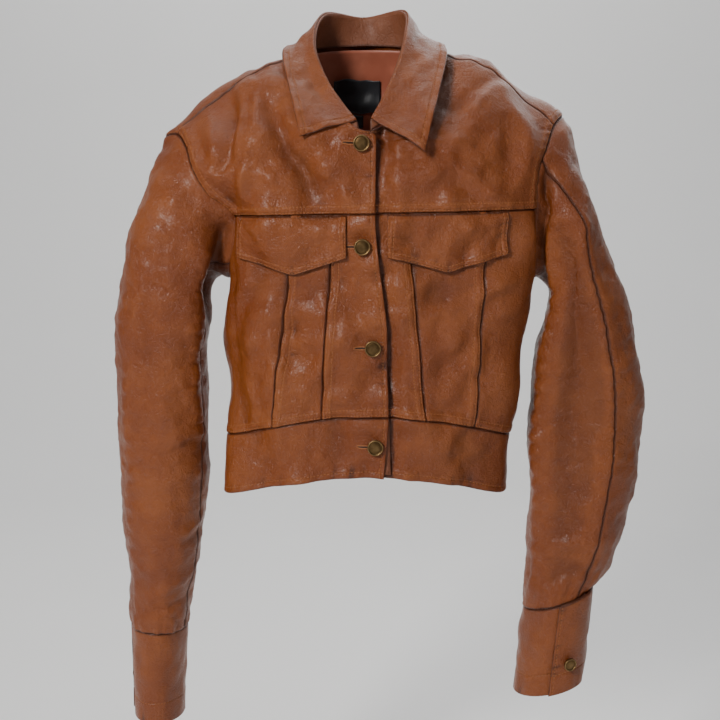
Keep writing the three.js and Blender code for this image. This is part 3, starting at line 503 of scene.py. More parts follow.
# Creases of the front, as x and z, then height and width.
FRONT_CREASES = (
    Crease(((-122, -46), (-110, -80), (-116, -118), (-129, -158), (-110, -176)), 7.0, 10.0, 0.25),
    Crease(((-166, -80), (-157, -106), (-155, -134), (-162, -150)), 9.0, 12.0),
    Crease(((-141, -58), (-137, -92), (-141, -126), (-152, -142)), -7.0, 7.0),
    Crease(((-131, -56), (-127, -92), (-134, -128), (-148, -146)), 6.0, 7.0, -0.2),
    Crease(((-186, -106), (-174, -134), (-152, -148), (-132, -142)), 6.0, 9.0, -0.3),
    Crease(((-104, -70), (-82, -116), (-62, -152), (-56, -182)), -7.5, 10.0, 0.2),
    Crease(((-92, -62), (-66, -106), (-48, -134), (-24, -172)), 4.5, 13.0),
    Crease(((-36, -134), (-16, -166), (-4, -178)), 2.0, 8.0),
    Crease(((-60, -106), (-34, -116), (-12, -110)), -3.0, 12.0),
    Crease(((98, -74), (118, -58), (144, -48)), -3.0, 5.0),
    Crease(((104, -84), (124, -68), (150, -60)), 3.0, 7.0),
    Crease(((150, -76), (168, -104), (166, -138), (152, -166)), 5.0, 9.0, 0.3),
    Crease(((136, -84), (150, -112), (146, -148)), -4.0, 10.0),
    Crease(((84, -126), (112, -150), (146, -170)), 3.6, 8.0),
    Crease(((76, -140), (104, -162), (130, -176)), -3.0, 8.0),
    Crease(((28, -164), (56, -138), (96, -126)), 3.0, 12.0),
    Crease(((84, -50), (94, -88), (80, -130)), -3.5, 14.0),
    Crease(((44, -120), (60, -140), (70, -170)), -2.5, 12.0),
    Crease(((-122, -248), (-129, -268), (-142, -280)), 4.0, 7.0),
    Crease(((-114, -246), (-126, -282), (-134, -320), (-138, -356)), -5.0, 9.0),
    Crease(((-44, -254), (-66, -280), (-78, -314), (-68, -352)), -4.5, 13.0),
    Crease(((-104, -262), (-98, -310), (-92, -352), (-86, -384)), 4.0, 11.0),
    Crease(((-46, -322), (-62, -352), (-74, -374)), -3.0, 7.0),
    Crease(((-40, -316), (-54, -346), (-60, -376)), 2.6, 7.0),
    Crease(((-26, -252), (-13, -282), (2, -300)), -2.6, 6.0),
    Crease(((-36, -262), (-24, -290), (-20, -330)), 2.6, 11.0),
    Crease(((-134, -354), (-124, -372), (-122, -394)), 2.6, 4.5),
    Crease(((-120, -350), (-112, -376), (-106, -394)), -2.4, 5.0),
    Crease(((122, -270), (142, -257), (160, -250)), 3.2, 8.0),
    Crease(((118, -284), (140, -272), (160, -268)), -2.4, 7.0),
    Crease(((170, -194), (166, -220), (154, -240)), 3.0, 9.0),
    Crease(((56, -342), (80, -330), (106, -318)), 3.0, 10.0),
    Crease(((60, -360), (84, -348), (110, -342)), -2.6, 10.0),
    Crease(((54, -262), (76, -271), (104, -264)), -2.2, 10.0),
    Crease(((120, -300), (142, -290), (162, -284)), 2.2, 7.0),
    Crease(((-110, -412), (-116, -440), (-106, -468)), -2.6, 10.0),
    Crease(((-28, -400), (-36, -432), (-28, -462)), -3.0, 9.0),
    Crease(((-40, -402), (-50, -430), (-44, -458)), 2.4, 10.0),
    Crease(((94, -402), (85, -434), (92, -466)), 2.6, 12.0),
)

# Creases of the back, as x and z.
BACK_CREASES = (
    Crease(((-150, -120), (-110, -138), (-60, -150)), 4.0, 12.0),
    Crease(((150, -118), (112, -136), (60, -152)), 4.0, 12.0),
    Crease(((-120, -190), (-96, -240), (-92, -300)), 4.5, 14.0),
    Crease(((-100, -200), (-74, -260), (-70, -330)), -4.0, 14.0),
    Crease(((134, -190), (118, -250), (110, -320)), 4.5, 14.0),
    Crease(((150, -220), (140, -280), (132, -350)), -3.6, 11.0),
    Crease(((-20, -210), (-6, -290), (-16, -370)), -3.4, 18.0),
    Crease(((36, -190), (40, -270), (26, -360)), 3.4, 16.0),
    Crease(((-110, -396), (-60, -388), (-10, -394)), 2.4, 8.0),
    Crease(((30, -392), (80, -386), (128, -398)), 2.4, 8.0),
)


def spine_direction(points: Array) -> Array:
    """The way out of the body at each point, the same for every panel there."""
    centre = np.stack(
        [
            np.full(points.shape[:-1], 14.0),
            np.zeros(points.shape[:-1]),
            np.clip(points[..., 2], -600, -150),
        ],
        axis=-1,
    )
    return unit((points - centre) * np.array([0.3, 1.0, 1.0]))


class TorsoRelief:
    """The folds of the body, shared by every panel so that they run on across the seams."""

    def __init__(self, buttons: Sequence[tuple[float, float]]) -> None:
        """Keeps what the folds stay clear of.

        Args:
            buttons: x and z of each front button.
        """
        self.buttons = buttons
        turns = np.linspace(0, 1, 160)
        self.seams = np.concatenate([TORSO.armhole(side)(turns) for side in Side])

    def __call__(self, points: Array) -> Array:
        """The height of the folds at points of the body."""
        x, y, z = points[..., 0], points[..., 1], points[..., 2]
        flat = points.reshape(-1, 3)
        reach = np.concatenate(
            [length_of(part[:, None] - self.seams).min(axis=1) for part in np.array_split(flat, 12)]
        )
        clear = smooth(reach.reshape(x.shape), 1.0, 13.0)
        for bx, bz in self.buttons:
            clear = clear * np.where(y < 0, smooth(np.hypot(x - bx, z - bz), 7, 26), 1.0)
        in_front = smooth(-y, -26, 6)
        behind = smooth(y, 16, 46)
        ahead = total_relief(FRONT_CREASES, x, z) * in_front
        back = total_relief(BACK_CREASES, x, z) * behind
        edge = 1 - 0.75 * smooth(np.abs(points[..., 0]), 118, 150)
        soft = 3.0 * waves(points, 85, 3) + (1.5 * waves(points, 34, 5) + 0.4 * waves(points, 14, 7)) * edge
        return (ahead + back + soft) * clear


# ---- Panels ----

# Fold tone: lighter on fold ridges, as wear and painted highlight, and darker in fold valleys, as painted
# shade.
PAINTED_LIGHT_AND_WEAR_PER_FOLD = 0.045  # how much lighter or darker a millimetre of fold makes the hide
TONE_AT_EDGE = 0.6  # how dark a finished edge is
TONE_OF_SWELL = 0.9  # how light the swell beside a row of stitches is
DARK_EDGE_REACH = 1.3  # millimetres over which an edge's darkness fades


class Finish(Enum):
    """How a panel's edge is made."""

    SEWN = "sewn"
    FREE = "free"
    PLAIN = "plain"


@dataclass(frozen=True)
class Edge:
    """One side of a panel: how it is finished, and its topstitching."""

    finish: Finish = Finish.SEWN
    rows: tuple = ()
    swell: float = 0.5
    pucker: float = 0.36

    def lines(self) -> list[float]:
        """Distances from the edge that a lattice needs to show the finish and each row."""
        near = {
            Finish.SEWN: [0.0, 0.5, 1.2, 2.2],
            Finish.FREE: [0.0, 0.2, 0.6, 1.2, 2.2],
            Finish.PLAIN: [0.0],
        }[self.finish]
        for row in self.rows:
            near += [row - 1.2, row - 0.5, row, row + 0.5, row + 1.2]
        if self.rows:
            near.append(max(self.rows) + 2.4)
        kept: list[float] = []
        for distance in sorted(near):
            if not kept or distance - kept[-1] > 0.15:
                kept.append(distance)
        return kept

    def profile(self, distance: Array, along: Array, seed: int) -> Array:
        """How far the leather stands above its plain surface.

        Args:
            distance: how far each place is from the edge.
            along: how far each place is along it.
            seed: which pattern of puckers.

        Returns:
            The height, below zero where the edge and the stitches pull it in.
        """
        height = np.zeros_like(distance)
        if self.finish is Finish.SEWN:
            height -= 1.5 * np.exp(-((distance / 1.1) ** 1.4))
        if self.finish is Finish.FREE:
            inner = np.clip(1.0 - distance, 0, 1)
            height -= 1.0 - np.sqrt(1.0 - inner**2)
        if not self.rows:
            return height
        last = max(self.rows)
        height += self.swell * (1 - smooth(distance, last + 0.2, last + 2.4)) * smooth(distance, 0, 2)
        line = point(along, 0 * along, 0 * along)
        ripple = waves(line, 11, seed, 9) + 0.6 * waves(line, 5.5, seed + 1, 9)
        height += self.pucker * ripple * smooth(distance, 0, 2.5) * np.exp(-((distance / 11) ** 2))
        for row in self.rows:
            height -= 0.7 * np.exp(-(((distance - row) / 0.6) ** 2))
        return height


@dataclass
class Made:
    """A finished panel: its faces' points, and what else is built on them."""

    outer: Array
    inner: Array
    normal: Array
    distances: dict
    cut: Array
    tone: Array

    def cut_size(self) -> tuple[float, float, float]:
        """Measures the smooth surface that the panel was cut to, before any fold or swell.

        Returns:
            Its width and length at their longest, in millimetres, and its area.
        """
        cut = self.cut
        width = length_of(np.diff(cut, axis=0)).sum(axis=0).max()
        length = length_of(np.diff(cut, axis=1)).sum(axis=1).max()
        low = np.cross(cut[1:, :-1] - cut[:-1, :-1], cut[:-1, 1:] - cut[:-1, :-1])
        high = np.cross(cut[1:, 1:] - cut[1:, :-1], cut[1:, 1:] - cut[:-1, 1:])
        return float(width), float(length), float(length_of(low).sum() + length_of(high).sum()) / 2


@dataclass
class Panel:
    """A piece of leather or lining, cut to a surface between its seams."""

    name: str
    surface: Surface
    inside: tuple = (20, 0, -300)
    left: Edge = Edge()
    right: Edge = Edge()
    bottom: Edge = Edge()
    top: Edge = Edge()
    pitch: float = 3.6
    thickness: float = LEATHER
    offset: float = 0.0
    relief: Optional[Relief] = None
    direction: Optional[Callable[[Array], Array]] = spine_direction
    round: bool = False
    seed: int = 1
    extra: Optional[Callable[[Array, Array, Array], Array]] = None
    # Painted shade taken off the tone, such as the painted shadow along the lap.
    shade: Optional[Relief] = None

    def _count(self, span: float, low: Edge, high: Edge) -> int:
        """How many lattice lines lie between the two edges' own lines."""
        rest = span - low.lines()[-1] - high.lines()[-1]
        return max(2, round(rest / self.pitch))

    @staticmethod
    def _goals(span: Array, low: Edge, high: Edge, middle: int) -> Array:
        """Where each lattice line lies along runs of given lengths."""
        near, far = np.array(low.lines()), np.array(high.lines())[::-1]
        near_scale = np.minimum(1, 0.45 * span / max(near[-1], 1e-6))
        far_scale = np.minimum(1, 0.45 * span / max(far[0], 1e-6))
        first = near[:, None] * near_scale
        last = span - far[:, None] * far_scale
        share = (np.arange(1, middle) / middle)[:, None]
        return np.concatenate([first, lerp(first[-1], last[0], share), last])

    def _spread(self) -> tuple[Array, Array, dict]:
        """Lattice parameters with lines at set distances from the edges."""
        probe = np.linspace(0, 1, 60)
        half = np.full_like(probe, 0.5)
        span_u = length_of(np.diff(self.surface(probe, half), axis=0)).sum()
        span_v = length_of(np.diff(self.surface(half, probe), axis=0)).sum()
        mid_u = self._count(span_u, self.left, self.right)
        mid_v = self._count(span_v, self.bottom, self.top)
        count_u = len(self.left.lines()) + mid_u - 1 + len(self.right.lines())
        count_v = len(self.bottom.lines()) + mid_v - 1 + len(self.top.lines())
        u, v = np.meshgrid(np.linspace(0, 1, count_u), np.linspace(0, 1, count_v), indexing="ij")
        for _ in range(4):
            run = self._run(self.surface(u, v), 0)
            goal = self._goals(run[-1], self.left, self.right, mid_u)
            for j in range(count_v):
                new_u = np.interp(goal[:, j], run[:, j], u[:, j])
                v[:, j] = np.interp(goal[:, j], run[:, j], v[:, j])
                u[:, j] = new_u
            run = self._run(self.surface(u, v), 1)
            goal = self._goals(run[:, -1], self.bottom, self.top, mid_v).T
            for i in range(count_u):
                new_v = np.interp(goal[i], run[i], v[i])
                u[i] = np.interp(goal[i], run[i], u[i])
                v[i] = new_v
        places = self.surface(u, v)
        run_u, run_v = self._run(places, 0), self._run(places, 1)
        distances = {
            "left": run_u,
            "right": run_u[-1] - run_u,
            "bottom": run_v,
            "top": run_v[:, -1:] - run_v,
        }
        return u, v, distances

    @staticmethod
    def _run(places: Array, axis: int) -> Array:
        """The running length along an axis of a lattice."""
        steps = np.cumsum(length_of(np.diff(places, axis=axis)), axis=axis)
        start = np.zeros_like(np.take(steps, [0], axis=axis))
        return np.concatenate([start, steps], axis=axis)

    def _normals(self, u: Array, v: Array) -> Array:
        """The surface's outward normals."""
        h = 1e-3
        low_u, high_u = np.clip(u - h, 0, 1), np.clip(u + h, 0, 1)
        low_v, high_v = np.clip(v - h, 0, 1), np.clip(v + h, 0, 1)
        du = self.surface(high_u, v) - self.surface(low_u, v)
        dv = self.surface(u, high_v) - self.surface(u, low_v)
        normal = unit(np.cross(du, dv))
        away = self.surface(u, v) - np.array(self.inside, float)
        self.flip = float((normal * away).sum(axis=-1).mean()) < 0
        return -normal if self.flip else normal

    def make(self) -> Made:
        """Works out the panel's points.

        Returns:
            The panel, ready to become a mesh and to be stitched.
        """
        u, v, distances = self._spread()
        base = self.surface(u, v)
        normal = self._normals(u, v)
        shape = np.zeros(u.shape)
        edges = {"left": self.left, "right": self.right, "bottom": self.bottom, "top": self.top}
        for number, (name, edge) in enumerate(edges.items()):
            along = distances["bottom"] if name in ("left", "right") else distances["left"]
            shape += edge.profile(distances[name], along, 10 * self.seed + number)
        fold = self.relief(base) if self.relief else np.zeros(u.shape)
        if self.extra:
            fold = fold + self.extra(u, v, base)
        aim = self.direction(base) if self.direction else normal
        moved = base + aim * fold[..., None]
        outer = moved + normal * (self.offset + self.thickness + shape)[..., None]
        rim = np.zeros(u.shape)
        for name, edge in edges.items():
            if edge.finish is Finish.FREE:
                inner_rise = np.clip(1.0 - distances[name], 0, 1)
                rim = np.maximum(rim, 1.0 - np.sqrt(1.0 - inner_rise**2))
        inner = moved + normal * (self.offset + rim * self.thickness / 2)[..., None]
        finished = [distances[name] for name, edge in edges.items() if edge.finish is not Finish.PLAIN]
        near_edge = np.minimum.reduce([np.full(u.shape, 99.0), *finished])
        # The tone: painted highlight on fold ridges (and, on leather, wear), painted shade in fold valleys,
        # the lighter swell and darker grooves at the stitching, dark finished edges, and any painted shade
        # the panel is given.
        tone = PAINTED_LIGHT_AND_WEAR_PER_FOLD * np.clip(fold, -8, 8) + TONE_OF_SWELL * np.clip(shape, -1, 0.4)
        tone = tone - TONE_AT_EDGE * np.exp(-near_edge / DARK_EDGE_REACH)
        if self.shade:
            tone = tone - self.shade(base)
        return Made(outer, inner, normal, distances, base, tone)

    def object(self, made: Made, material: "bpy.types.Material") -> "bpy.types.Object":
        """The panel as a closed mesh.

        Args:
            made: the panel's points.
            material: its finish.

        Returns:
            The new object.
        """
        count_u, count_v = made.outer.shape[:2]
        columns = count_u - 1 if self.round else count_u
        index = np.arange(columns * count_v).reshape(columns, count_v)
        if self.round:
            index = np.concatenate([index, index[:1]])
        layer = columns * count_v
        a, b, c, d = index[:-1, :-1], index[1:, :-1], index[1:, 1:], index[:-1, 1:]
        front = np.stack([a, b, c, d], axis=-1).reshape(-1, 4)
        faces = [front, front[:, ::-1] + layer]
        rims = [index[:, 0], index[::-1, -1]]
        if not self.round:
            rims += [index[-1, :], index[0, ::-1]]
        for rim in rims:
            faces.append(np.stack([rim[1:], rim[:-1], rim[:-1] + layer, rim[1:] + layer], axis=-1))
        whole = np.concatenate(faces)
        if self.flip:
            whole = whole[:, ::-1]
        layers = [made.outer[:columns].reshape(-1, 3), made.inner[:columns].reshape(-1, 3)]
        tone = made.tone[:columns].reshape(-1)
        obj = mesh_object(self.name, np.concatenate(layers), whole, material)
        put_tone(obj, np.concatenate([tone, tone]))
        return obj


def mesh_object(name: str, places: Array, faces: Sequence, material: "bpy.types.Material",
                smooth_shade: bool = True) -> "bpy.types.Object":
    """A mesh object from points in millimetres.

    Args:
        name: the object's name.
        places: its points.
        faces: each face's point numbers.
        material: its finish.
        smooth_shade: whether its faces are shaded as one surface.

    Returns:
        The new object, in the scene.
    """
    mesh = bpy.data.meshes.new(name)
    mesh.from_pydata((places / METRE).tolist(), [], [list(map(int, face)) for face in faces])
    mesh.polygons.foreach_set("use_smooth", [smooth_shade] * len(mesh.polygons))
    mesh.materials.append(material)
    mesh.update()
    obj = bpy.data.objects.new(name, mesh)
    bpy.context.scene.collection.objects.link(obj)
    return obj


def put_tone(obj: "bpy.types.Object", tone: Array) -> None:
    """Stores each point's tone for the finish to colour: painted highlight and painted shade that follow the
    folds, dark edges, painted shadow under the lap, and the buttons' wear.
    """
    layer = obj.data.attributes.new("tone", "FLOAT", "POINT")
    layer.data.foreach_set("value", np.clip(tone, -1, 1).astype(np.float32))


# ---- Stitching ----


@dataclass(frozen=True)
class Thread:
    """Topstitching: short raised stitches along a row."""

    pitch: float = 3.7
    length: float = 2.9
    radius: float = 0.42
    sides: int = 6

    def row(self, path: Array, normals: Array, margin: float = 1.5) -> Optional[Array]:
        """The stitches of one row.

        Args:
            path: the row's points on the leather.
            normals: the leather's outward normals there.
            margin: how far the row stops short of both ends.

        Returns:
            Each stitch's points as stitch, ring and side, or None for a row too short to sew.
        """
        run = np.concatenate([[0.0], np.cumsum(length_of(np.diff(path, axis=0)))])
        count = int((run[-1] - 2 * margin) / self.pitch)
        if count < 1:
            return None
        middles = margin + (np.arange(count) + 0.5) * (run[-1] - 2 * margin) / count
        at = lambda s, values: np.stack([np.interp(s, run, values[:, k]) for k in range(3)], axis=-1)
        centre = at(middles, path)
        aim = unit(at(middles + 0.8, path) - at(middles - 0.8, path))
        up = unit(at(middles, normals))
        side = unit(np.cross(aim, up))
        half = self.length / 2
        rings = ((-half, 0.3), (-half * 0.72, 1.0), (half * 0.72, 1.0), (half, 0.3))
        turn = 2 * math.pi * np.arange(self.sides) / self.sides
        result = []
        for shift, share in rings:
            lift = 0.12 if share == 1.0 else -0.22
            middle = centre + aim * shift + up * lift
            radial = np.cos(turn)[None, :, None] * up[:, None] + np.sin(turn)[None, :, None] * side[:, None]
            result.append(middle[:, None] + radial * self.radius * share)
        return np.stack(result, axis=1)

    def faces(self, count: int) -> list:
        """The faces of a number of stitches."""
        s = self.sides
        one = [
            [r * s + k, r * s + (k + 1) % s, (r + 1) * s + (k + 1) % s, (r + 1) * s + k]
            for r in range(3)
            for k in range(s)
        ]
        one += [list(range(s))[::-1], [3 * s + k for k in range(s)]]
        return [[i + 4 * s * n for i in face] for n in range(count) for face in one]

    def sew(self, name: str, rows: Sequence, material: "bpy.types.Material") -> Optional["bpy.types.Object"]:
        """One object of all the stitches of several rows.

        Args:
            name: the object's name.
            rows: each row's path and normals.
            material: the thread's finish.

        Returns:
            The object, or None where there is nothing to sew.
        """
        sewn = [stitches for row in rows if (stitches := self.row(*row)) is not None]
        if not sewn:
            return None
        whole = np.concatenate(sewn)
        return mesh_object(name, whole.reshape(-1, 3), self.faces(len(whole)), material)


THREAD = Thread()


def rows_of(panel: Panel, made: Made) -> list:
    """The paths of a panel's topstitch rows, each with its normals."""
    found = []
    edges = {"left": panel.left, "right": panel.right, "bottom": panel.bottom, "top": panel.top}
    for name, edge in edges.items():
        for row in edge.rows:
            lines = edge.lines()
            number = int(np.abs(np.array(lines) - row).argmin())
            if name in ("right", "top"):
                number = -1 - number
            pick = (number, slice(None)) if name in ("left", "right") else (slice(None), number)
            found.append((made.outer[pick], made.normal[pick]))
    return found


# ---- Finishes ----


class Value:
    """A number that varies over a surface, with the arithmetic that shader maths needs."""

    def __init__(self, graph: "Graph", socket: "bpy.types.NodeSocket") -> None:
        """Wraps a socket of a graph."""
        self.graph = graph
        self.socket = socket

    def _with(self, operation: str, first: object, second: object = None) -> "Value":
        """A Math node on one or two values."""
        given = {0: first} if second is None else {0: first, 1: second}
        node = self.graph.node("ShaderNodeMath", {"operation": operation}, given)
        return Value(self.graph, node.outputs[0])

    def __add__(self, other: object) -> "Value":
        """This plus the other."""
        return self._with("ADD", self, other)

    __radd__ = __add__

    def __sub__(self, other: object) -> "Value":
        """This minus the other."""
        return self._with("SUBTRACT", self, other)

    def __rsub__(self, other: object) -> "Value":
        """The other minus this."""
        return self._with("SUBTRACT", other, self)

    def __mul__(self, other: object) -> "Value":
        """This times the other."""
        return self._with("MULTIPLY", self, other)

    __rmul__ = __mul__

    def __truediv__(self, other: object) -> "Value":
        """This over the other."""
        return self._with("DIVIDE", self, other)

    def above(self, low: float, high: float) -> "Value":
        """An eased step from 0 at low to 1 at high."""
        settings = {"interpolation_type": "SMOOTHSTEP"}
        given = {"Value": self, "From Min": low, "From Max": high}
        node = self.graph.node("ShaderNodeMapRange", settings, given)
        return Value(self.graph, node.outputs[0])


class Graph:
    """A material's nodes."""

    def __init__(self, name: str) -> None:
        """Starts a material with one Principled surface."""
        self.material = bpy.data.materials.new(name)
        self.material.use_nodes = True
        self.tree = self.material.node_tree
        self.surface = self.tree.nodes["Principled BSDF"]

    def node(self, kind: str, settings: Optional[dict] = None,
             inputs: Optional[dict] = None) -> "bpy.types.Node":
        """Adds a node.

        Args:
            kind: its type.
            settings: its own properties, set first; stops holds a ramp's places and colours.
            inputs: each socket's name or number, and its value, Value or output socket.

        Returns:
            The new node.
        """
        node = self.tree.nodes.new(kind)
        for name, value in (settings or {}).items():
            if name == "stops":
                ramp = node.color_ramp
                while len(ramp.elements) < len(value):
                    ramp.elements.new(1.0)
                for element, (place, colour) in zip(ramp.elements, value):
                    element.position = place
                    element.color = (*colour, 1.0)
            else:
                setattr(node, name, value)
        for name, value in (inputs or {}).items():
            self.put(node.inputs[name], value)
        return node

    def put(self, socket: "bpy.types.NodeSocket", value: object) -> None:
        """Gives a socket a number, a colour or a link."""
        if isinstance(value, Value):
            value = value.socket
        if isinstance(value, bpy.types.NodeSocket):
            self.tree.links.new(value, socket)
        elif isinstance(value, tuple) and len(value) == 3 and socket.type == "RGBA":
            socket.default_value = (*value, 1.0)
        else:
            socket.default_value = value

    def noise(self, scale: float, detail: float = 2.0, place: Optional[object] = None,
              distortion: float = 0.0) -> Value:
        """Noise with that many hills to the metre."""
        place = place or self.place()
        inputs = {"Vector": place, "Scale": scale, "Detail": detail, "Distortion": distortion}
        return Value(self, self.node("ShaderNodeTexNoise", {}, inputs).outputs[0])

    def cells(self, scale: float) -> Value:
        """How far each place is from the edges of small cells."""
        settings = {"feature": "DISTANCE_TO_EDGE"}
        node = self.node("ShaderNodeTexVoronoi", settings, {"Vector": self.place(), "Scale": scale})
        return Value(self, node.outputs["Distance"])

    def place(self) -> "bpy.types.NodeSocket":
        """The place on the piece, in metres."""
        return self.node("ShaderNodeTexCoord").outputs["Object"]

    def tone(self) -> Value:
        """The stored tone: painted highlight and painted shade that follow the folds, dark edges, painted
        shadow under the lap, and the buttons' wear.
        """
        node = self.node("ShaderNodeAttribute", {"attribute_name": "tone"})
        return Value(self, node.outputs["Fac"])

    def mix(self, share: object, low: object, high: object, blend: str = "MIX") -> "bpy.types.NodeSocket":
        """A colour a share of the way from low to high."""
        node = self.node("ShaderNodeMix", {"data_type": "RGBA", "blend_type": blend})
        self.put(node.inputs[0], share)
        self.put(node.inputs[6], low)
        self.put(node.inputs[7], high)
        return node.outputs[2]

    def bump(self, height: Value, distance: float, strength: float) -> "bpy.types.NodeSocket":
        """The normal that a height field gives."""
        inputs = {"Height": height, "Distance": distance, "Strength": strength}
        return self.node("ShaderNodeBump", {}, inputs).outputs[0]

    def finish(self, sockets: dict) -> "bpy.types.Material":
        """Sets the surface's sockets and returns the material."""
        for name, value in sockets.items():
            self.put(self.surface.inputs[name], value)
        return self.material


Colour = tuple[float, float, float]


@dataclass(frozen=True)
class Leather:
    """Smooth hide with a soft gloss: darker at its seams and with painted shade in its fold valleys, lighter
    on fold ridges with wear and a painted highlight.
    """

    name: str = "leather"
    deep: Colour = (0.036, 0.0065, 0.0015)
    base: Colour = (0.165, 0.0345, 0.0042)
    # The lighter colour of the random mottling, and of fold ridges as wear and painted highlight.
    rubbed_and_highlight: Colour = (0.28, 0.078, 0.015)
    gloss: float = 0.37
    grain: float = 1.0

    def material(self) -> "bpy.types.Material":
        """Builds the finish."""
        g = Graph(self.name)
        tone = g.tone()
        cloud = g.noise(8.0, 3.0)
        patchy = g.noise(42.0, 4.0, distortion=0.4)
        crinkle = g.noise(130.0, 3.0, distortion=0.9)
        fine = g.noise(900.0, 2.0)
        mottled = (cloud * 0.7 + patchy * 0.5 + crinkle * 0.3 - 0.3).above(0.2, 0.75)
        body = g.mix(mottled * 0.7, self.base, self.rubbed_and_highlight)
        # Lighter on fold ridges, as wear and painted highlight, and on the swell beside the stitching.
        with_wear_and_highlight = g.mix(tone.above(0.1, 0.8) * 0.5, body, self.rubbed_and_highlight)
        # Darker as painted shade in fold valleys and along the lap, and at dark seams, edges and stitch
        # grooves.
        with_painted_shade_and_dark_edges = g.mix((tone * -1.0).above(0.1, 0.7) * 0.75, with_wear_and_highlight, self.deep)
        pores = g.mix(fine.above(0.6, 0.8) * 0.3, with_painted_shade_and_dark_edges, self.deep)
        creases = g.cells(240.0).above(0.0, 0.1)
        pebble = g.cells(900.0).above(0.0, 0.18)
        height = pebble * 0.35 + fine * 0.2 + creases * 0.6 + crinkle * 3.2 + patchy * 5.0
        rough = patchy * 0.26 + crinkle * 0.2 + fine * 0.08 + (self.gloss - 0.27)
        return g.finish({
            "Base Color": pores,
            "Roughness": rough,
            "Normal": g.bump(height, 0.00045 * self.grain, 0.85),
            "Coat Weight": 0.05,
            "Coat Roughness": 0.26,
            "Specular IOR Level": 0.4,
        })


@dataclass(frozen=True)
class Satin:
    """A smooth woven cloth, as of the lining and the labels."""

    name: str
    base: Colour
    light: Colour
    gloss: float = 0.5
    sheen: float = 0.15

    def material(self) -> "bpy.types.Material":
        """Builds the finish."""
        g = Graph(self.name)
        weave = g.node("ShaderNodeTexWave", {"bands_direction": "X"}, {"Vector": g.place(), "Scale": 420.0})
        weft = g.node("ShaderNodeTexWave", {"bands_direction": "Z"}, {"Vector": g.place(), "Scale": 520.0})
        cross = Value(g, weave.outputs[1]) + Value(g, weft.outputs[1])
        cloud = g.noise(30.0, 3.0)
        # Lighter at random in the cloud, and on fold ridges through the tone, which is painted highlight.
        colour = g.mix(cloud.above(0.35, 0.7) * 0.6 + g.tone() * 0.4, self.base, self.light)
        return g.finish({
            "Base Color": colour,
            "Roughness": cloud * 0.12 + (self.gloss - 0.06),
            "Normal": g.bump(cross, 0.00006, 0.3),
            "Sheen Weight": self.sheen,
        })


@dataclass(frozen=True)
class Brass:
    """Antique brass, dark and brushed, with a brighter worn rim."""

    name: str = "antique_brass"
    dark: Colour = (0.105, 0.062, 0.026)
    bright: Colour = (0.26, 0.165, 0.072)

    def material(self) -> "bpy.types.Material":
        """Builds the finish."""
        g = Graph(self.name)
        patina = g.noise(300.0, 4.0)
        brushed = g.noise(2600.0, 2.0)
        worn = (g.tone() + patina * 0.7 - 0.25).above(0.0, 0.8)
        return g.finish({
            "Base Color": g.mix(worn, self.dark, self.bright),
            "Metallic": 1.0,
            "Roughness": patina * 0.3 + brushed * 0.1 + 0.2,
            "Normal": g.bump(patina + brushed * 0.5, 0.0001, 0.4),
        })


@dataclass(frozen=True)
class Cotton:
    """Waxed sewing thread; in near-black colours, also the painted shadow in the buttonhole slits."""

    name: str = "thread"
    base: Colour = (0.2, 0.055, 0.012)
    light: Colour = (0.4, 0.15, 0.045)

    def material(self) -> "bpy.types.Material":
        """Builds the finish."""
        g = Graph(self.name)
        twist = g.noise(1500.0, 2.0)
        return g.finish({
            "Base Color": g.mix(twist, self.base, self.light),
            "Roughness": twist * 0.2 + 0.45,
        })


# ---- The workshop: it makes pieces, sews them and hangs them on their bodies ----


@dataclass(frozen=True)
class Carrier:
    """What a piece moves with: one body; a second body and the ends of a bend between them can be given, but
    no bend is made.
    """

    body: str = "torso"
    moving: Optional[str] = None
    start: tuple = ()
    end: tuple = ()

    def carry(self, obj: "bpy.types.Object") -> None:
        """Makes an object move with the carrier's body; where a second body is given, it only bakes the
        object's place into its mesh.
        """
        if self.moving is None:
            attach(obj, self.body)
        else:
            start, end = (tuple(c / METRE for c in place) for place in (self.start, self.end))
            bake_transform(obj)
            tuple(start)
            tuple(end)


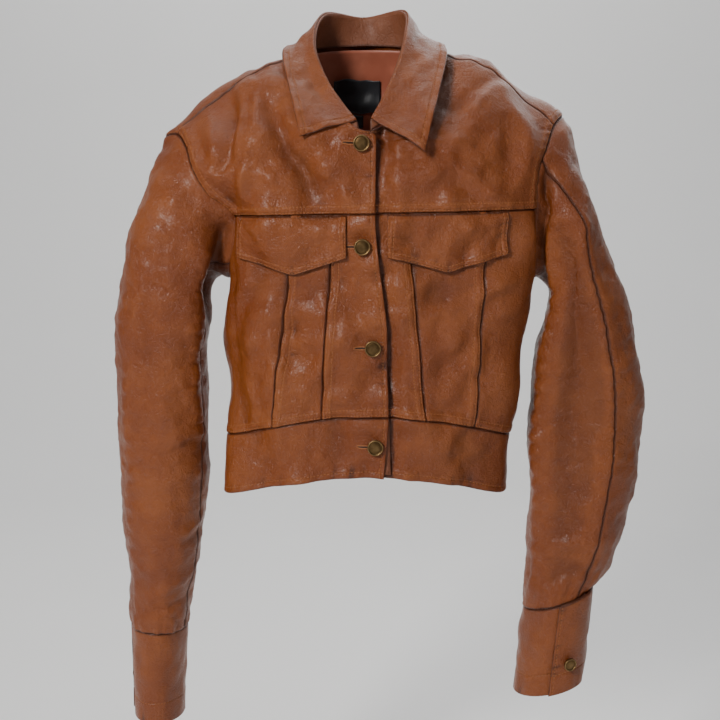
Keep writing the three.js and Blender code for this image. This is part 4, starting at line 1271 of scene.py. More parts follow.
@dataclass
class Workshop:
    """The finishes in use, and how a piece is finished."""

    leather: "bpy.types.Material" = field(default_factory=lambda: Leather().material())
    inner: "bpy.types.Material" = field(default_factory=lambda: Leather(
        "inner_leather", (0.06, 0.016, 0.006), (0.17, 0.052, 0.021), (0.25, 0.09, 0.042),
        0.52, 0.7).material())
    lining: "bpy.types.Material" = field(default_factory=lambda: Satin(
        "lining", (0.3, 0.08, 0.042), (0.46, 0.15, 0.085), 0.46).material())
    label: "bpy.types.Material" = field(default_factory=lambda: Satin(
        "label_satin", (0.014, 0.015, 0.018), (0.03, 0.032, 0.037), 0.38, 0.1).material())
    brass: "bpy.types.Material" = field(default_factory=lambda: Brass().material())
    thread: "bpy.types.Material" = field(default_factory=lambda: Cotton().material())
    # A near-black sheet finish: painted shadow inside the buttonhole slits.
    shade: "bpy.types.Material" = field(default_factory=lambda: Cotton(
        "painted_slit_shadow", (0.016, 0.005, 0.002), (0.035, 0.01, 0.004)).material())

    def sew(self, panel: Panel, node: str, slot: str, carrier: Carrier = Carrier(),
            material: Optional["bpy.types.Material"] = None) -> "bpy.types.Object":
        """Args:
            panel: the panel.
            node: the solid that it stands for.
            slot: the record's material slot; not used.
            carrier: what it moves with.
            material: its finish, if it isn't outer leather.

        Returns:
            The panel's object.
        """
        made = panel.make()
        obj = panel.object(made, material or self.leather)
        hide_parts(node)
        stitching = THREAD.sew(f"{panel.name}_stitching", rows_of(panel, made), self.thread)
        extras = []
        if stitching:
            extras.append(stitching)
        self.declare(obj, made, extras)
        for piece in (obj, *extras):
            carrier.carry(piece)
        log.info("%s: %.0f by %.0f mm, %.0f mm2", panel.name, *made.cut_size())
        return obj

    @staticmethod
    def declare(obj: "bpy.types.Object", made: Made, extras: list) -> None:
        width, length, area = made.cut_size()


# ---- Sub-assemblies ----

SEAM = Edge()
FREE = Edge(Finish.FREE)
PLAIN = Edge(Finish.PLAIN)
DOUBLE = Edge(rows=(2.6, 8.6), swell=1.0)
FRONT_EDGE = Edge(Finish.FREE, rows=(5.0,), swell=0.3)
BORDER = Edge(Finish.FREE, rows=(2.0, 6.6), swell=0.5)
COLLAR_BORDER = Edge(Finish.FREE, rows=(7.2,), swell=0.4)


def locate(surface: Surface, x: Array, z: Array, rounds: int = 14) -> Array:
    """The points of a surface that lie at x and z."""
    u, v = np.full(np.shape(x), 0.5), np.full(np.shape(x), 0.5)
    h = 1e-3
    for _ in range(rounds):
        here = surface(u, v)
        du, dv = (surface(u + h, v) - here) / h, (surface(u, v + h) - here) / h
        ex, ez = x - here[..., 0], z - here[..., 2]
        det = du[..., 0] * dv[..., 2] - du[..., 2] * dv[..., 0]
        u = np.clip(u + 0.8 * (ex * dv[..., 2] - ez * dv[..., 0]) / det, 0, 1 - h)
        v = np.clip(v + 0.8 * (ez * du[..., 0] - ex * du[..., 2]) / det, 0, 1 - h)
    return surface(u, v)


@dataclass
class Front:
    """One front of the jacket: yoke, three panels, waistband, facing, linings, flap and pocket."""

    side: Side
    shop: Workshop
    relief: TorsoRelief
    inner_seam: tuple
    outer_seam: tuple
    flap_span: tuple
    flap_side: float = 41
    flap_point: float = 18
    flap_top_gap: float = 1.0
    flap_lift: float = 3.4
    pocket_depth: float = 115
    pocket_inset: float = 8
    facing_width: float = 46
    facing_thickness: float = 1.2
    facing_gap: float = 1.4
    lining_gap: float = 7.0
    cover: Optional[Surface] = None

    def __post_init__(self) -> None:
        """Works out the seams that the pieces share."""
        side, s = self.side, self.side.sign
        self.armhole = TORSO.armhole(side)
        self.crossing = self.armhole(np.array(CROSSING_FRONT))
        self.edge_x = float(TORSO.own_edge_x(side, -TORSO.yoke_drop))
        centre = float(TORSO.waist_seam_z(0.0))
        self.centre_z = centre
        self.angles = [
            float(TORSO.angle(TORSO.own_edge_x(side, centre), centre)),
            float(TORSO.angle(self.inner_seam[1], centre)),
            float(TORSO.angle(self.outer_seam[1], centre)),
            s * QUARTER,
        ]

    def on_section(self, angle: Array, z: Array) -> Array:
        """A point at an angle and height, sunk where this front is under the lap."""
        result = TORSO.section(angle, z)
        result[..., 1] += TORSO.underlap(self.side, result[..., 0], z)
        return result

    def yoke_seam(self, start: float, end: float) -> Curve:
        """The yoke seam between two places along X."""

        def curve(t: Array) -> Array:
            x = lerp(start, end, np.asarray(t, float))
            result = TORSO.front(self.side, x, TORSO.yoke_z(x))
            at_end = np.isclose(x, self.crossing[0], atol=1e-6)[..., None]
            return np.where(at_end, self.crossing, result)

        return curve

    def waist_seam(self, start: float, end: float) -> Curve:
        """The waist seam between two angles."""

        def curve(t: Array) -> Array:
            angle = lerp(start, end, np.asarray(t, float))
            return self.on_section(angle, TORSO.waist_seam_z(angle))

        return curve

    def down_seam(self, number: int, top: float) -> Curve:
        """A seam down the front, from the waist seam up to the yoke seam."""
        low = self.waist_seam(self.angles[number], 0)(np.array(0.0))
        high = self.yoke_seam(top, top)(np.array(0.0))
        return lambda t: TORSO.front(self.side, lerp(low[0], high[0], t), lerp(low[2], high[2], t))

    def edge(self, bottom: float, top: float, shift: float = 0.0) -> Curve:
        """The front edge between two heights, or a line beside it."""

        def curve(t: Array) -> Array:
            z = lerp(bottom, top, np.asarray(t, float))
            x = TORSO.own_edge_x(self.side, z) + self.side.sign * shift
            return TORSO.front(self.side, x, z)

        return curve

    def side_seam(self, t: Array) -> Array:
        """The side seam, from the waist to the armpit."""
        z = lerp(TORSO.waist_seam_z(QUARTER), -TORSO.armpit_drop, np.asarray(t, float))
        return TORSO.section(self.side.sign * QUARTER, z)

    def yoke(self) -> Surface:
        """The yoke, between its seam, the front edge and neck, the shoulder and the armhole."""
        side = self.side
        corner_x = float(TORSO.own_edge_x(side, -TORSO.neck_drop))
        with_painted_shade_and_dark_edges = float(TORSO.underlap(side, np.array(corner_x), np.array(-TORSO.neck_drop)))
        corner = np.array([corner_x, TORSO.neck_y + with_painted_shade_and_dark_edges, -TORSO.neck_drop])
        low = self.yoke_seam(self.edge_x, self.edge_x)(np.array(0.0))
        middle = lerp(low, corner, 0.5)
        middle[1] = lerp(low[1], corner[1], 0.4)
        neck_start = np.array(TORSO.pick(TORSO.neck_front, side)[0], float)
        front_edge = chain(
            (evenly([low, middle, corner]), 3),
            (lambda t: lerp(corner, neck_start, t[..., None]), 1),
            (TORSO.neck_front_seam(side), 4),
        )
        lean = (steady(0, 0, 1), steady(0, 0.86, 0.5))
        spread = patch(
            self.yoke_seam(self.edge_x, float(self.crossing[0])),
            TORSO.shoulder_seam(side),
            front_edge,
            backwards(stretch(self.armhole, SEAM_END, CROSSING_FRONT)),
            lean,
        )
        return spread if self.cover is None else self.tucked(spread)

    def tucked(self, surface: Surface) -> Surface:
        """The surface with its strip along the front edge held behind the upper front."""

        def under(u: Array, v: Array) -> Array:
            places = surface(u, v)
            x, z = places[..., 0], places[..., 2]
            edge = TORSO.edge_x(z)
            share = 1 - smooth(x - edge, 4, 24)
            near = share > 0
            if near.any():
                covered = locate(self.cover, np.minimum(x, edge)[near], z[near])[..., 1]
                neck = smooth(z[near], -1.3 * TORSO.neck_drop, -TORSO.neck_drop)
                places[near, 1] = lerp(places[near, 1], covered + LAP_DEPTH * (1 + 0.95 * neck), share[near])
            return places

        return under

    @staticmethod
    def painted_lap_shadow(points: Array) -> Array:
        """Painted shadow on the leather along the edge of the other front, which lies over it."""
        return 1.1 * (1 - smooth(points[..., 0] - TORSO.edge_x(points[..., 2]), 1.5, 6.5))

    def panels(self) -> None:
        """The leather of the front."""
        side, name = self.side, self.side.value
        inner, outer = self.down_seam(1, self.inner_seam[0]), self.down_seam(2, self.outer_seam[0])
        crossing_x = float(self.crossing[0])
        rows = {"relief": self.relief}
        if side is Side.LEFT:
            # Painted shadow along the edge of the right front, which laps over this one.
            rows["shade"] = self.painted_lap_shadow
        centre = Panel(
            f"{name}_front_panel_center_leather",
            patch(
                self.waist_seam(self.angles[0], self.angles[1]),
                self.yoke_seam(self.edge_x, self.inner_seam[0]),
                self.edge(self.centre_z, float(TORSO.yoke_z(self.edge_x))),
                inner,
            ),
            left=FRONT_EDGE, right=DOUBLE, bottom=DOUBLE, top=SEAM, seed=3, **rows,
        )
        middle = Panel(
            f"{name}_front_panel_middle_leather",
            patch(
                self.waist_seam(self.angles[1], self.angles[2]),
                self.yoke_seam(self.inner_seam[0], self.outer_seam[0]),
                inner,
                outer,
            ),
            left=SEAM, right=DOUBLE, bottom=DOUBLE, top=SEAM, seed=4, **rows,
        )
        side_top = chain(
            (self.yoke_seam(self.outer_seam[0], crossing_x), 1),
            (stretch(self.armhole, CROSSING_FRONT, ARMPIT), 1),
        )
        flank = Panel(
            f"{name}_front_panel_side_leather",
            patch(self.waist_seam(self.angles[2], self.angles[3]), side_top, outer, self.side_seam),
            left=SEAM, right=SEAM, bottom=DOUBLE, top=SEAM, seed=5, **rows,
        )
        self.yoke_surface = self.yoke()
        yoke = Panel(
            f"{name}_front_yoke_leather", self.yoke_surface,
            left=FRONT_EDGE, right=DOUBLE, bottom=DOUBLE, top=SEAM, seed=6, pitch=3.0, **rows,
        )
        band = Panel(
            f"{name}_waistband_leather", self.band(self.angles[0], self.angles[3]),
            left=FRONT_EDGE, right=SEAM, bottom=Edge(Finish.FREE, rows=(6.6,), swell=0.4), top=SEAM,
            seed=7, **rows,
        )
        parts = {"panel_center": centre, "panel_middle": middle, "panel_side": flank, "yoke": yoke}
        for part, panel in parts.items():
            self.shop.sew(panel, f"{name}_front_{part}", "leather")
        self.shop.sew(band, f"{name}_waistband", "leather")

    def band(self, start: float, end: float) -> Surface:
        """The waistband between two angles."""
        low = lambda t: self.on_section(lerp(start, end, t), TORSO.hem_z(lerp(start, end, t)))
        edges = [
            lambda t, a=a: self.on_section(
                np.full(np.shape(t), a), lerp(TORSO.hem_z(a), TORSO.waist_seam_z(a), t))
            for a in (start, end)
        ]
        return patch(low, self.waist_seam(start, end), *edges)

    def inside(self) -> None:
        """The facing, the linings and the pocket bag."""
        side, s, name = self.side, self.side.sign, self.side.value
        shop = self.shop
        crossing_x = float(self.crossing[0])
        share = self.facing_width / abs(crossing_x - self.edge_x)
        below = 0.7

        def facing(u: Array, v: Array) -> Array:
            top_x = self.edge_x + s * self.facing_width * u
            start = float(TORSO.hem_z(0.0)) + 2 * LEATHER
            z = lerp(start, TORSO.yoke_z(top_x), np.clip(v / below, 0, 1))
            low = TORSO.front(side, TORSO.own_edge_x(side, z) + s * self.facing_width * u, z)
            high = self.yoke_surface(u * share, np.clip((v - below) / (1 - below), 0, 1))
            return np.where((v >= below)[..., None], high, low)

        backing = Panel(
            f"{name}_facing_leather", facing, left=PLAIN, right=PLAIN, bottom=PLAIN, top=PLAIN,
            pitch=5, thickness=self.facing_thickness, offset=-self.facing_gap - self.facing_thickness,
            relief=self.relief,
        )
        shop.sew(backing, f"{name}_facing", "facing_leather", material=shop.inner)
        cloth = {
            "left": PLAIN, "right": PLAIN, "bottom": PLAIN, "top": PLAIN, "pitch": 6,
            "thickness": 1.0, "offset": -self.lining_gap - 1.0, "relief": self.relief,
        }
        yoke_cloth = Panel(
            f"{name}_yoke_lining_cloth",
            inset(self.yoke_surface, share + 0.07 * (1 - share), 0.96, 0.06, 0.95),
            **cloth,
        )
        shop.sew(yoke_cloth, f"{name}_yoke_lining", "lining", material=shop.lining)
        facing_line = self.edge(self.centre_z, float(TORSO.yoke_z(self.edge_x)), self.facing_width)
        low_x, high_x = (float(facing_line(np.array(t))[0]) for t in (0.0, 1.0))
        panels = patch(
            self.waist_seam(float(TORSO.angle(low_x, self.centre_z)), self.angles[3]),
            chain(
                (self.yoke_seam(high_x, crossing_x), 2),
                (stretch(self.armhole, CROSSING_FRONT, ARMPIT), 1),
            ),
            facing_line,
            self.side_seam,
        )
        body_cloth = Panel(
            f"{name}_front_lining_cloth",
            inset(panels, 0.04, 0.97, 0.03, 0.96),
            **cloth,
        )
        shop.sew(body_cloth, f"{name}_front_lining", "lining", material=shop.lining)
        low, high = self.flap_span
        limit = self.edge_x + s * (self.facing_width + 0.9)
        if side is Side.LEFT:
            bag_low, bag_high = max(low + self.pocket_inset, limit), high - self.pocket_inset
        else:
            bag_low, bag_high = low + self.pocket_inset, min(high - self.pocket_inset, limit)

        def bag(u: Array, v: Array) -> Array:
            x = lerp(bag_low, bag_high, u)
            return TORSO.front(side, x, TORSO.yoke_z(x) - 4 - (1 - v) * self.pocket_depth)

        pocket = Panel(
            f"{name}_pocket_bag_cloth", bag, left=PLAIN, right=PLAIN, bottom=PLAIN, top=PLAIN,
            pitch=8, thickness=2.0, offset=-4.4, relief=self.relief,
        )
        shop.sew(pocket, f"{name}_pocket_bag", "lining", material=shop.lining)

    def flap(self) -> None:
        """The pointed pocket flap, sewn in at the yoke seam."""
        side, s, name = self.side, self.side.sign, self.side.value
        low, high = self.flap_span

        def ripples(u: Array, v: Array, base: Array) -> Array:
            x, z = base[..., 0], base[..., 2]
            down = 1 - v
            ends = np.exp(-(((x - low) / 16) ** 2)) + np.exp(-(((x - high) / 16) ** 2))
            mid_height = np.sin(math.pi * np.clip(down * 0.9, 0, 1))
            mid_width = np.sin(math.pi * np.clip((x - low) / (high - low), 0, 1))
            wave = 1.3 * np.sin((x - low) / 5.2 + 2.2 * down) * ends * mid_height
            crown = 1.6 * mid_width * np.sin(math.pi * down * 0.85)
            tucked_in = -2.0 * (1 - smooth(down, 0.0, 0.16))
            return wave + crown + tucked_in + 1.2 * smooth(down, 0.4, 1.0) + 0.4 * waves(base, 24, 31 + s)

        def pointed(u: Array, v: Array) -> Array:
            x = lerp(low, high, u)
            point_drop = self.flap_point * (1 - np.sqrt((2 * u - 1) ** 2 + 0.0004))
            z = TORSO.yoke_z(x) - self.flap_top_gap - (1 - v) * (self.flap_side + 3 + point_drop)
            return TORSO.front(side, x, z)

        start, end = self.hinge()
        panel = Panel(
            f"{name}_pocket_flap_leather", pointed, left=BORDER, right=BORDER, bottom=BORDER, top=SEAM,
            pitch=2.6, offset=self.flap_lift, relief=self.relief, extra=ripples, seed=8,
        )
        self.shop.sew(panel, f"{name}_pocket_flap", "leather", Carrier("torso", f"{name}_flap", start, end))

    def hinge(self) -> tuple[tuple, tuple]:
        """Two points just under the flap's seam, given to its carrier as the ends of a bend that is not made.
        """
        middle = (self.flap_span[0] + self.flap_span[1]) / 2
        top = float(TORSO.yoke_z(middle))
        y = -TORSO.front_depth
        return (middle, y, top - 2), (middle, y, top - 14)

    def build(self) -> None:
        """Makes every piece of this front."""
        self.panels()
        self.inside()
        self.flap()


@dataclass
class Back:
    """The back: yoke, three panels, waistband and linings, with the label and the size tab."""

    shop: Workshop
    relief: TorsoRelief
    seams: tuple = ((-66, -44), (104, 64))
    lining_gap: float = 7.0
    label: tuple = (-9, 56, 33, 39)
    tab: tuple = (-9, 14, 12, 74)

    def yoke_seam(self, start: float, end: float) -> Curve:
        """The back yoke seam between two angles."""
        return lambda t: TORSO.section(lerp(start, end, t), -TORSO.back_yoke_drop)

    def waist(self, start: float, end: float) -> Curve:
        """The waist seam between two angles."""
        return lambda t: TORSO.section(lerp(start, end, t), TORSO.waist_seam_z(lerp(start, end, t)))

    def side_seam(self, angle: float) -> Curve:
        """A side seam, from the waist to the armpit."""
        waist = TORSO.waist_seam_z(QUARTER)
        return lambda t: TORSO.section(np.full(np.shape(t), angle), lerp(waist, -TORSO.armpit_drop, t))

    def down_seam(self, side: Side) -> tuple[float, float, Curve]:
        """A seam down the back: its angle at the yoke and at the waist, and its curve."""
        top_x, bottom_x = TORSO.pick(self.seams, side)
        top = math.pi - float(TORSO.angle(top_x, -TORSO.back_yoke_drop))
        bottom = math.pi - float(TORSO.angle(bottom_x, TORSO.waist_seam_z(math.pi)))
        low = TORSO.waist_seam_z(bottom)
        return top, bottom, lambda t: TORSO.section(
            lerp(bottom, top, t), lerp(low, -TORSO.back_yoke_drop, t))

    def yoke(self) -> Surface:
        """The back yoke, with the shoulder seams and the neck along its top."""
        crossing = (math.pi - TORSO.armhole_angle, math.pi + TORSO.armhole_angle)
        top = chain(
            (backwards(TORSO.shoulder_seam(Side.LEFT)), 3),
            (backwards(TORSO.neck_back_seam()), 4),
            (TORSO.shoulder_seam(Side.RIGHT), 3),
        )

        def lean(u: Array) -> Array:
            over = smooth(np.abs(2 * u - 1), 0.35, 0.6)
            return point(0, lerp(-0.3, -0.9, over), lerp(0, -1.1, over))

        return patch(
            self.yoke_seam(*crossing),
            top,
            stretch(TORSO.armhole(Side.LEFT), CROSSING_BACK, 1 + SEAM_END),
            stretch(TORSO.armhole(Side.RIGHT), CROSSING_BACK, 1 + SEAM_END),
            (steady(0, 0, 0.8), lean),
        )

    def build(self) -> None:
        """Makes every piece of the back."""
        shop = self.shop
        rows = {"relief": self.relief}
        seams = {side: self.down_seam(side) for side in Side}
        right, left = seams[Side.RIGHT], seams[Side.LEFT]
        centre = Panel(
            "back_panel_center_leather",
            patch(self.waist(left[1], right[1]), self.yoke_seam(left[0], right[0]), left[2], right[2]),
            left=DOUBLE, right=DOUBLE, bottom=DOUBLE, top=SEAM, seed=11, **rows,
        )
        shop.sew(centre, "back_panel_center", "leather")
        for side, (top, bottom, curve) in seams.items():
            angle = math.pi - side.sign * QUARTER
            crossing = math.pi - side.sign * TORSO.armhole_angle
            high = chain(
                (self.yoke_seam(top, crossing), 1),
                (backwards(stretch(TORSO.armhole(side), ARMPIT, CROSSING_BACK)), 1),
            )
            flank = Panel(
                f"back_panel_{side.value}_leather",
                patch(self.waist(bottom, angle), high, curve, self.side_seam(angle)),
                left=SEAM, right=SEAM, bottom=DOUBLE, top=SEAM, seed=12, **rows,
            )
            shop.sew(flank, f"back_panel_{side.value}", "leather")
        ends = (QUARTER, 3 * QUARTER)
        band = Panel(
            "back_waistband_leather",
            patch(
                lambda t: TORSO.section(lerp(*ends, t), TORSO.hem_z(lerp(*ends, t))),
                self.waist(*ends),
                *(lambda t, a=a: TORSO.section(
                    np.full(np.shape(t), a), lerp(TORSO.hem_z(QUARTER), TORSO.waist_seam_z(QUARTER), t))
                  for a in ends),
            ),
            left=SEAM, right=SEAM, bottom=Edge(Finish.FREE, rows=(6.6,), swell=0.4), top=SEAM,
            seed=13, **rows,
        )
        shop.sew(band, "back_waistband", "leather")
        surface = self.yoke()
        yoke = Panel(
            "back_yoke_leather", surface, left=DOUBLE, right=DOUBLE, bottom=DOUBLE, top=SEAM,
            seed=14, **rows,
        )
        shop.sew(yoke, "back_yoke", "leather")
        self.inside(surface)

    def inside(self, yoke: Surface) -> None:
        """The linings and labels."""
        shop = self.shop
        cloth = {
            "left": PLAIN, "right": PLAIN, "bottom": PLAIN, "top": PLAIN, "pitch": 4,
            "thickness": 1.0, "offset": -self.lining_gap - 1.0, "relief": self.relief,
        }

        def pleats(u: Array, v: Array, base: Array) -> Array:
            x, z = base[..., 0], base[..., 2]
            middle = 1.2 * np.exp(-((x / 1.1) ** 2)) - 2.0 * np.exp(-(((x - 3) / 2.2) ** 2))
            folds = 1.1 * waves(point(x, 0 * x, 0.16 * z), 13, 41)
            return (middle + folds) * smooth(-z, 30, 70)

        calm = {**cloth, "relief": lambda points: self.relief(points) * smooth(-points[..., 2], 8, 50)}
        shop.sew(
            Panel("back_yoke_lining_cloth", inset(yoke, 0.045, 0.955, 0.05, 0.985), extra=pleats, **calm),
            "back_yoke_lining", "lining", material=shop.lining,
        )
        whole = patch(
            self.waist(QUARTER, 3 * QUARTER),
            chain(
                (stretch(TORSO.armhole(Side.LEFT), ARMPIT, CROSSING_BACK), 1),
                (self.yoke_seam(math.pi - TORSO.armhole_angle, math.pi + TORSO.armhole_angle), 4),
                (backwards(stretch(TORSO.armhole(Side.RIGHT), ARMPIT, CROSSING_BACK)), 1),
            ),
            self.side_seam(QUARTER),
            self.side_seam(3 * QUARTER),
        )
        shop.sew(
            Panel("back_lining_cloth", inset(whole, 0.02, 0.98, 0.03, 0.97), extra=pleats, **cloth),
            "back_lining", "lining", material=shop.lining,
        )
        for name, (x, width, height, drop) in (("neck_label", self.label), ("size_tab", self.tab)):
            patch_on = lambda u, v, x=x, width=width, height=height, drop=drop: locate(
                yoke, x + width * (0.5 - u), -drop - height * (1 - v))
            satin = Panel(
                f"{name}_satin", patch_on, left=PLAIN, right=PLAIN, bottom=PLAIN, top=PLAIN, pitch=2,
                thickness=0.5, offset=-self.lining_gap - 3.4, relief=self.relief,
            )
            shop.sew(satin, name, "label", material=shop.label)


@dataclass
class Collar:
    """The collar: a stand up to the roll line, and a fall that turns over it to two points."""

    shop: Workshop
    roll_front: tuple = (
        ((-8, -74, -90), (-22, -62, -72), (-39, -42, -46), (-53, -14, -8)),
        ((6, -74, -88), (20, -60, -62), (33, -40, -32), (43, -12, 4)),
    )
    roll_back: tuple = ((-43, 28, 27), (0, 58, 25.5), (42, 28, 30))
    tips: tuple = ((-66, -85, -108), (61, -93, -123))
    edge: tuple = (
        ((-79, -50, -58), (-88, -8, -17), (-76, 46, -8)),
        ((76, -58, -66), (87, -8, -16), (76, 46, -8)),
    )
    back_edge: tuple = (0, 74, -22)
    inside: tuple = (0, 5, -50)
    stand_off: float = 5.0

    @staticmethod
    def mirror(right: Sequence, middle: Sequence, left: Sequence) -> Curve:
        """A curve from the right side round the back to the left."""
        return evenly([*right, *middle, *list(left)[::-1]])

    def outward(self, t: Array) -> Array:
        """The level direction out of the neck at a place on the roll line."""
        away = self.roll(t) - np.array([0.0, 5.0, 0.0])
        away[..., 2] = 0
        return unit(away)

    def turned(self, t: Array) -> Array:
        """Where the fall starts, on top of the roll line."""
        return self.roll(t) + self.outward(t) * 0.2 + np.array([0, 0, 0.2])

    def falls(self) -> Surface:
        """The fall, which rises off the roll line, turns over and hangs outside the stand."""

        def rising(t: Array) -> Array:
            return self.outward(t) * 0.42 + np.array([0, 0, 0.95])

        def hanging(t: Array) -> Array:
            return self.outward(t) * 0.22 + np.array([0, 0, -1.0])

        return patch(
            self.turned,
            self.outer,
            lambda v: lerp(self.turned(np.zeros_like(v)), self.outer(np.zeros_like(v)), v[..., None]),
            lambda v: lerp(self.turned(np.ones_like(v)), self.outer(np.ones_like(v)), v[..., None]),
            (rising, hanging),
        )

    def build(self) -> None:
        """Makes the stand and the two halves of the fall."""
        t = TORSO
        seam = self.mirror(
            [*t.neck_front[0], t.neck_side[0]], t.neck_back, [*t.neck_front[1], t.neck_side[1]])
        self.roll = self.mirror(self.roll_front[0], self.roll_back, self.roll_front[1])
        self.outer = self.mirror(
            [self.tips[0], *self.edge[0]], [self.back_edge], [self.tips[1], *self.edge[1]])
        stand = patch(
            seam, self.roll,
            lambda v: lerp(seam(np.zeros_like(v)), self.roll(np.zeros_like(v)), v[..., None]),
            lambda v: lerp(seam(np.ones_like(v)), self.roll(np.ones_like(v)), v[..., None]),
        )
        shop = self.shop
        wrinkled = lambda u, v, base: (
            (0.5 * waves(base, 22, 51) + 0.9 * waves(base, 60, 52)) * (1 - smooth(v, 0.5, 0.9))
        )
        standing = Panel(
            "collar_stand_leather", stand, inside=self.inside, left=SEAM, right=SEAM, bottom=SEAM,
            top=PLAIN, direction=None, extra=wrinkled, seed=21, pitch=3, offset=-LEATHER,
        )
        shop.sew(standing, "collar_stand", "leather", material=shop.inner)
        fall = self.falls()
        folds = lambda u, v, base: (
            (1.5 * waves(base, 48, 53) + 0.5 * waves(base, 20, 54)) * smooth(v, 0.1, 0.35)
            + self.stand_off * (1 - smooth(u, 0.2, 0.6)) * smooth(v, 0.15, 0.6)
        )
        halves = {Side.RIGHT: (0.0, 0.5), Side.LEFT: (1.0, 0.5)}
        bends = {
            Side.RIGHT: ((-70, -50, -40), (-66, -66, -71)),
            Side.LEFT: ((68, -54, -44), (65, -71, -78)),
        }
        for side, (start, end) in halves.items():
            half = Panel(
                f"collar_{side.value}_leather", inset(fall, start, end, 0, 1), inside=self.inside,
                left=COLLAR_BORDER, right=Edge(Finish.PLAIN), bottom=PLAIN, top=COLLAR_BORDER,
                direction=None, extra=folds, seed=22, pitch=2.6,
            )
            carrier = Carrier("torso", f"{side.value}_collar", *bends[side])
            obj = shop.sew(half, f"collar_leaf_{side.value}", "leather", carrier)
            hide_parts("collar_back")


# Creases of the sleeves: turns round the sleeve times its girth, and z; then height and width.
GIRTH = 300.0


def crease(*points: tuple[float, float], height: float, width: float, skew: float = 0.0) -> Crease:
    """A sleeve crease through places given as turns and z."""
    return Crease(tuple((turn * GIRTH, z) for turn, z in points), height, width, skew)


SLEEVE_CREASES = {
    Side.RIGHT: (
        crease((0.13, -180), (0.12, -300), (0.14, -430), (0.13, -560), (0.12, -640), height=4, width=12),
        crease((0.24, -180), (0.22, -300), (0.23, -420), height=-3.5, width=12),
        crease((0.33, -150), (0.36, -240), (0.38, -330), (0.4, -420), height=8, width=12),
        crease((0.28, -436), (0.36, -423), (0.46, -428), height=2.6, width=6),
        crease((0.27, -446), (0.37, -434), (0.46, -440), height=-2.2, width=5),
        crease((0.27, -534), (0.36, -534), (0.46, -520), height=2.6, width=6),
        crease((0.26, -545), (0.36, -546), (0.46, -534), height=-2, width=5),
        crease((0.2, -618), (0.32, -598), (0.46, -588), height=2.6, width=6),
        crease((0.18, -630), (0.3, -623), (0.45, -612), height=-2.6, width=5),
        crease((0.1, -560), (0.2, -580), (0.28, -566), height=1.8, width=7),
        crease((0.44, -286), (0.36, -306), (0.24, -312), height=2.4, width=7),
        crease((0.46, -326), (0.38, -346), (0.28, -352), height=-2.4, width=8),
        crease((0.62, -330), (0.7, -350), (0.84, -346), height=2.4, width=8),
        crease((0.6, -430), (0.72, -442), (0.86, -436), height=2.6, width=7),
        crease((0.6, -520), (0.72, -532), (0.86, -522), height=-2.4, width=8),
        crease((0.92, -200), (0.93, -330), (0.91, -480), height=3, width=13),
    ),
    Side.LEFT: (
        crease((0.42, -150), (0.41, -300), (0.43, -430), (0.42, -600), height=7, width=11),
        crease((0.3, -190), (0.3, -300), (0.31, -440), (0.3, -570), height=-19, width=24, skew=-0.3),
        crease((0.2, -190), (0.19, -300), (0.2, -420), (0.2, -540), height=5, width=11),
        crease((0.2, -420), (0.3, -440), (0.44, -432), height=2.4, width=7),
        crease((0.22, -500), (0.3, -512), (0.42, -500), height=2.6, width=7),
        crease((0.14, -560), (0.26, -548), (0.4, -566), height=2.6, width=7),
        crease((0.12, -590), (0.24, -580), (0.38, -598), height=-2.8, width=6),
        crease((0.48, -300), (0.4, -320), (0.3, -318), height=2.4, width=8),
        crease((0.06, -330), (0.14, -350), (0.24, -344), height=1.8, width=8),
        crease((0.62, -350), (0.74, -368), (0.88, -360), height=2.4, width=8),
        crease((0.62, -450), (0.74, -462), (0.88, -452), height=-2.6, width=8),
        crease((0.94, -200), (0.93, -330), (0.94, -480), height=3, width=12),
    ),
}


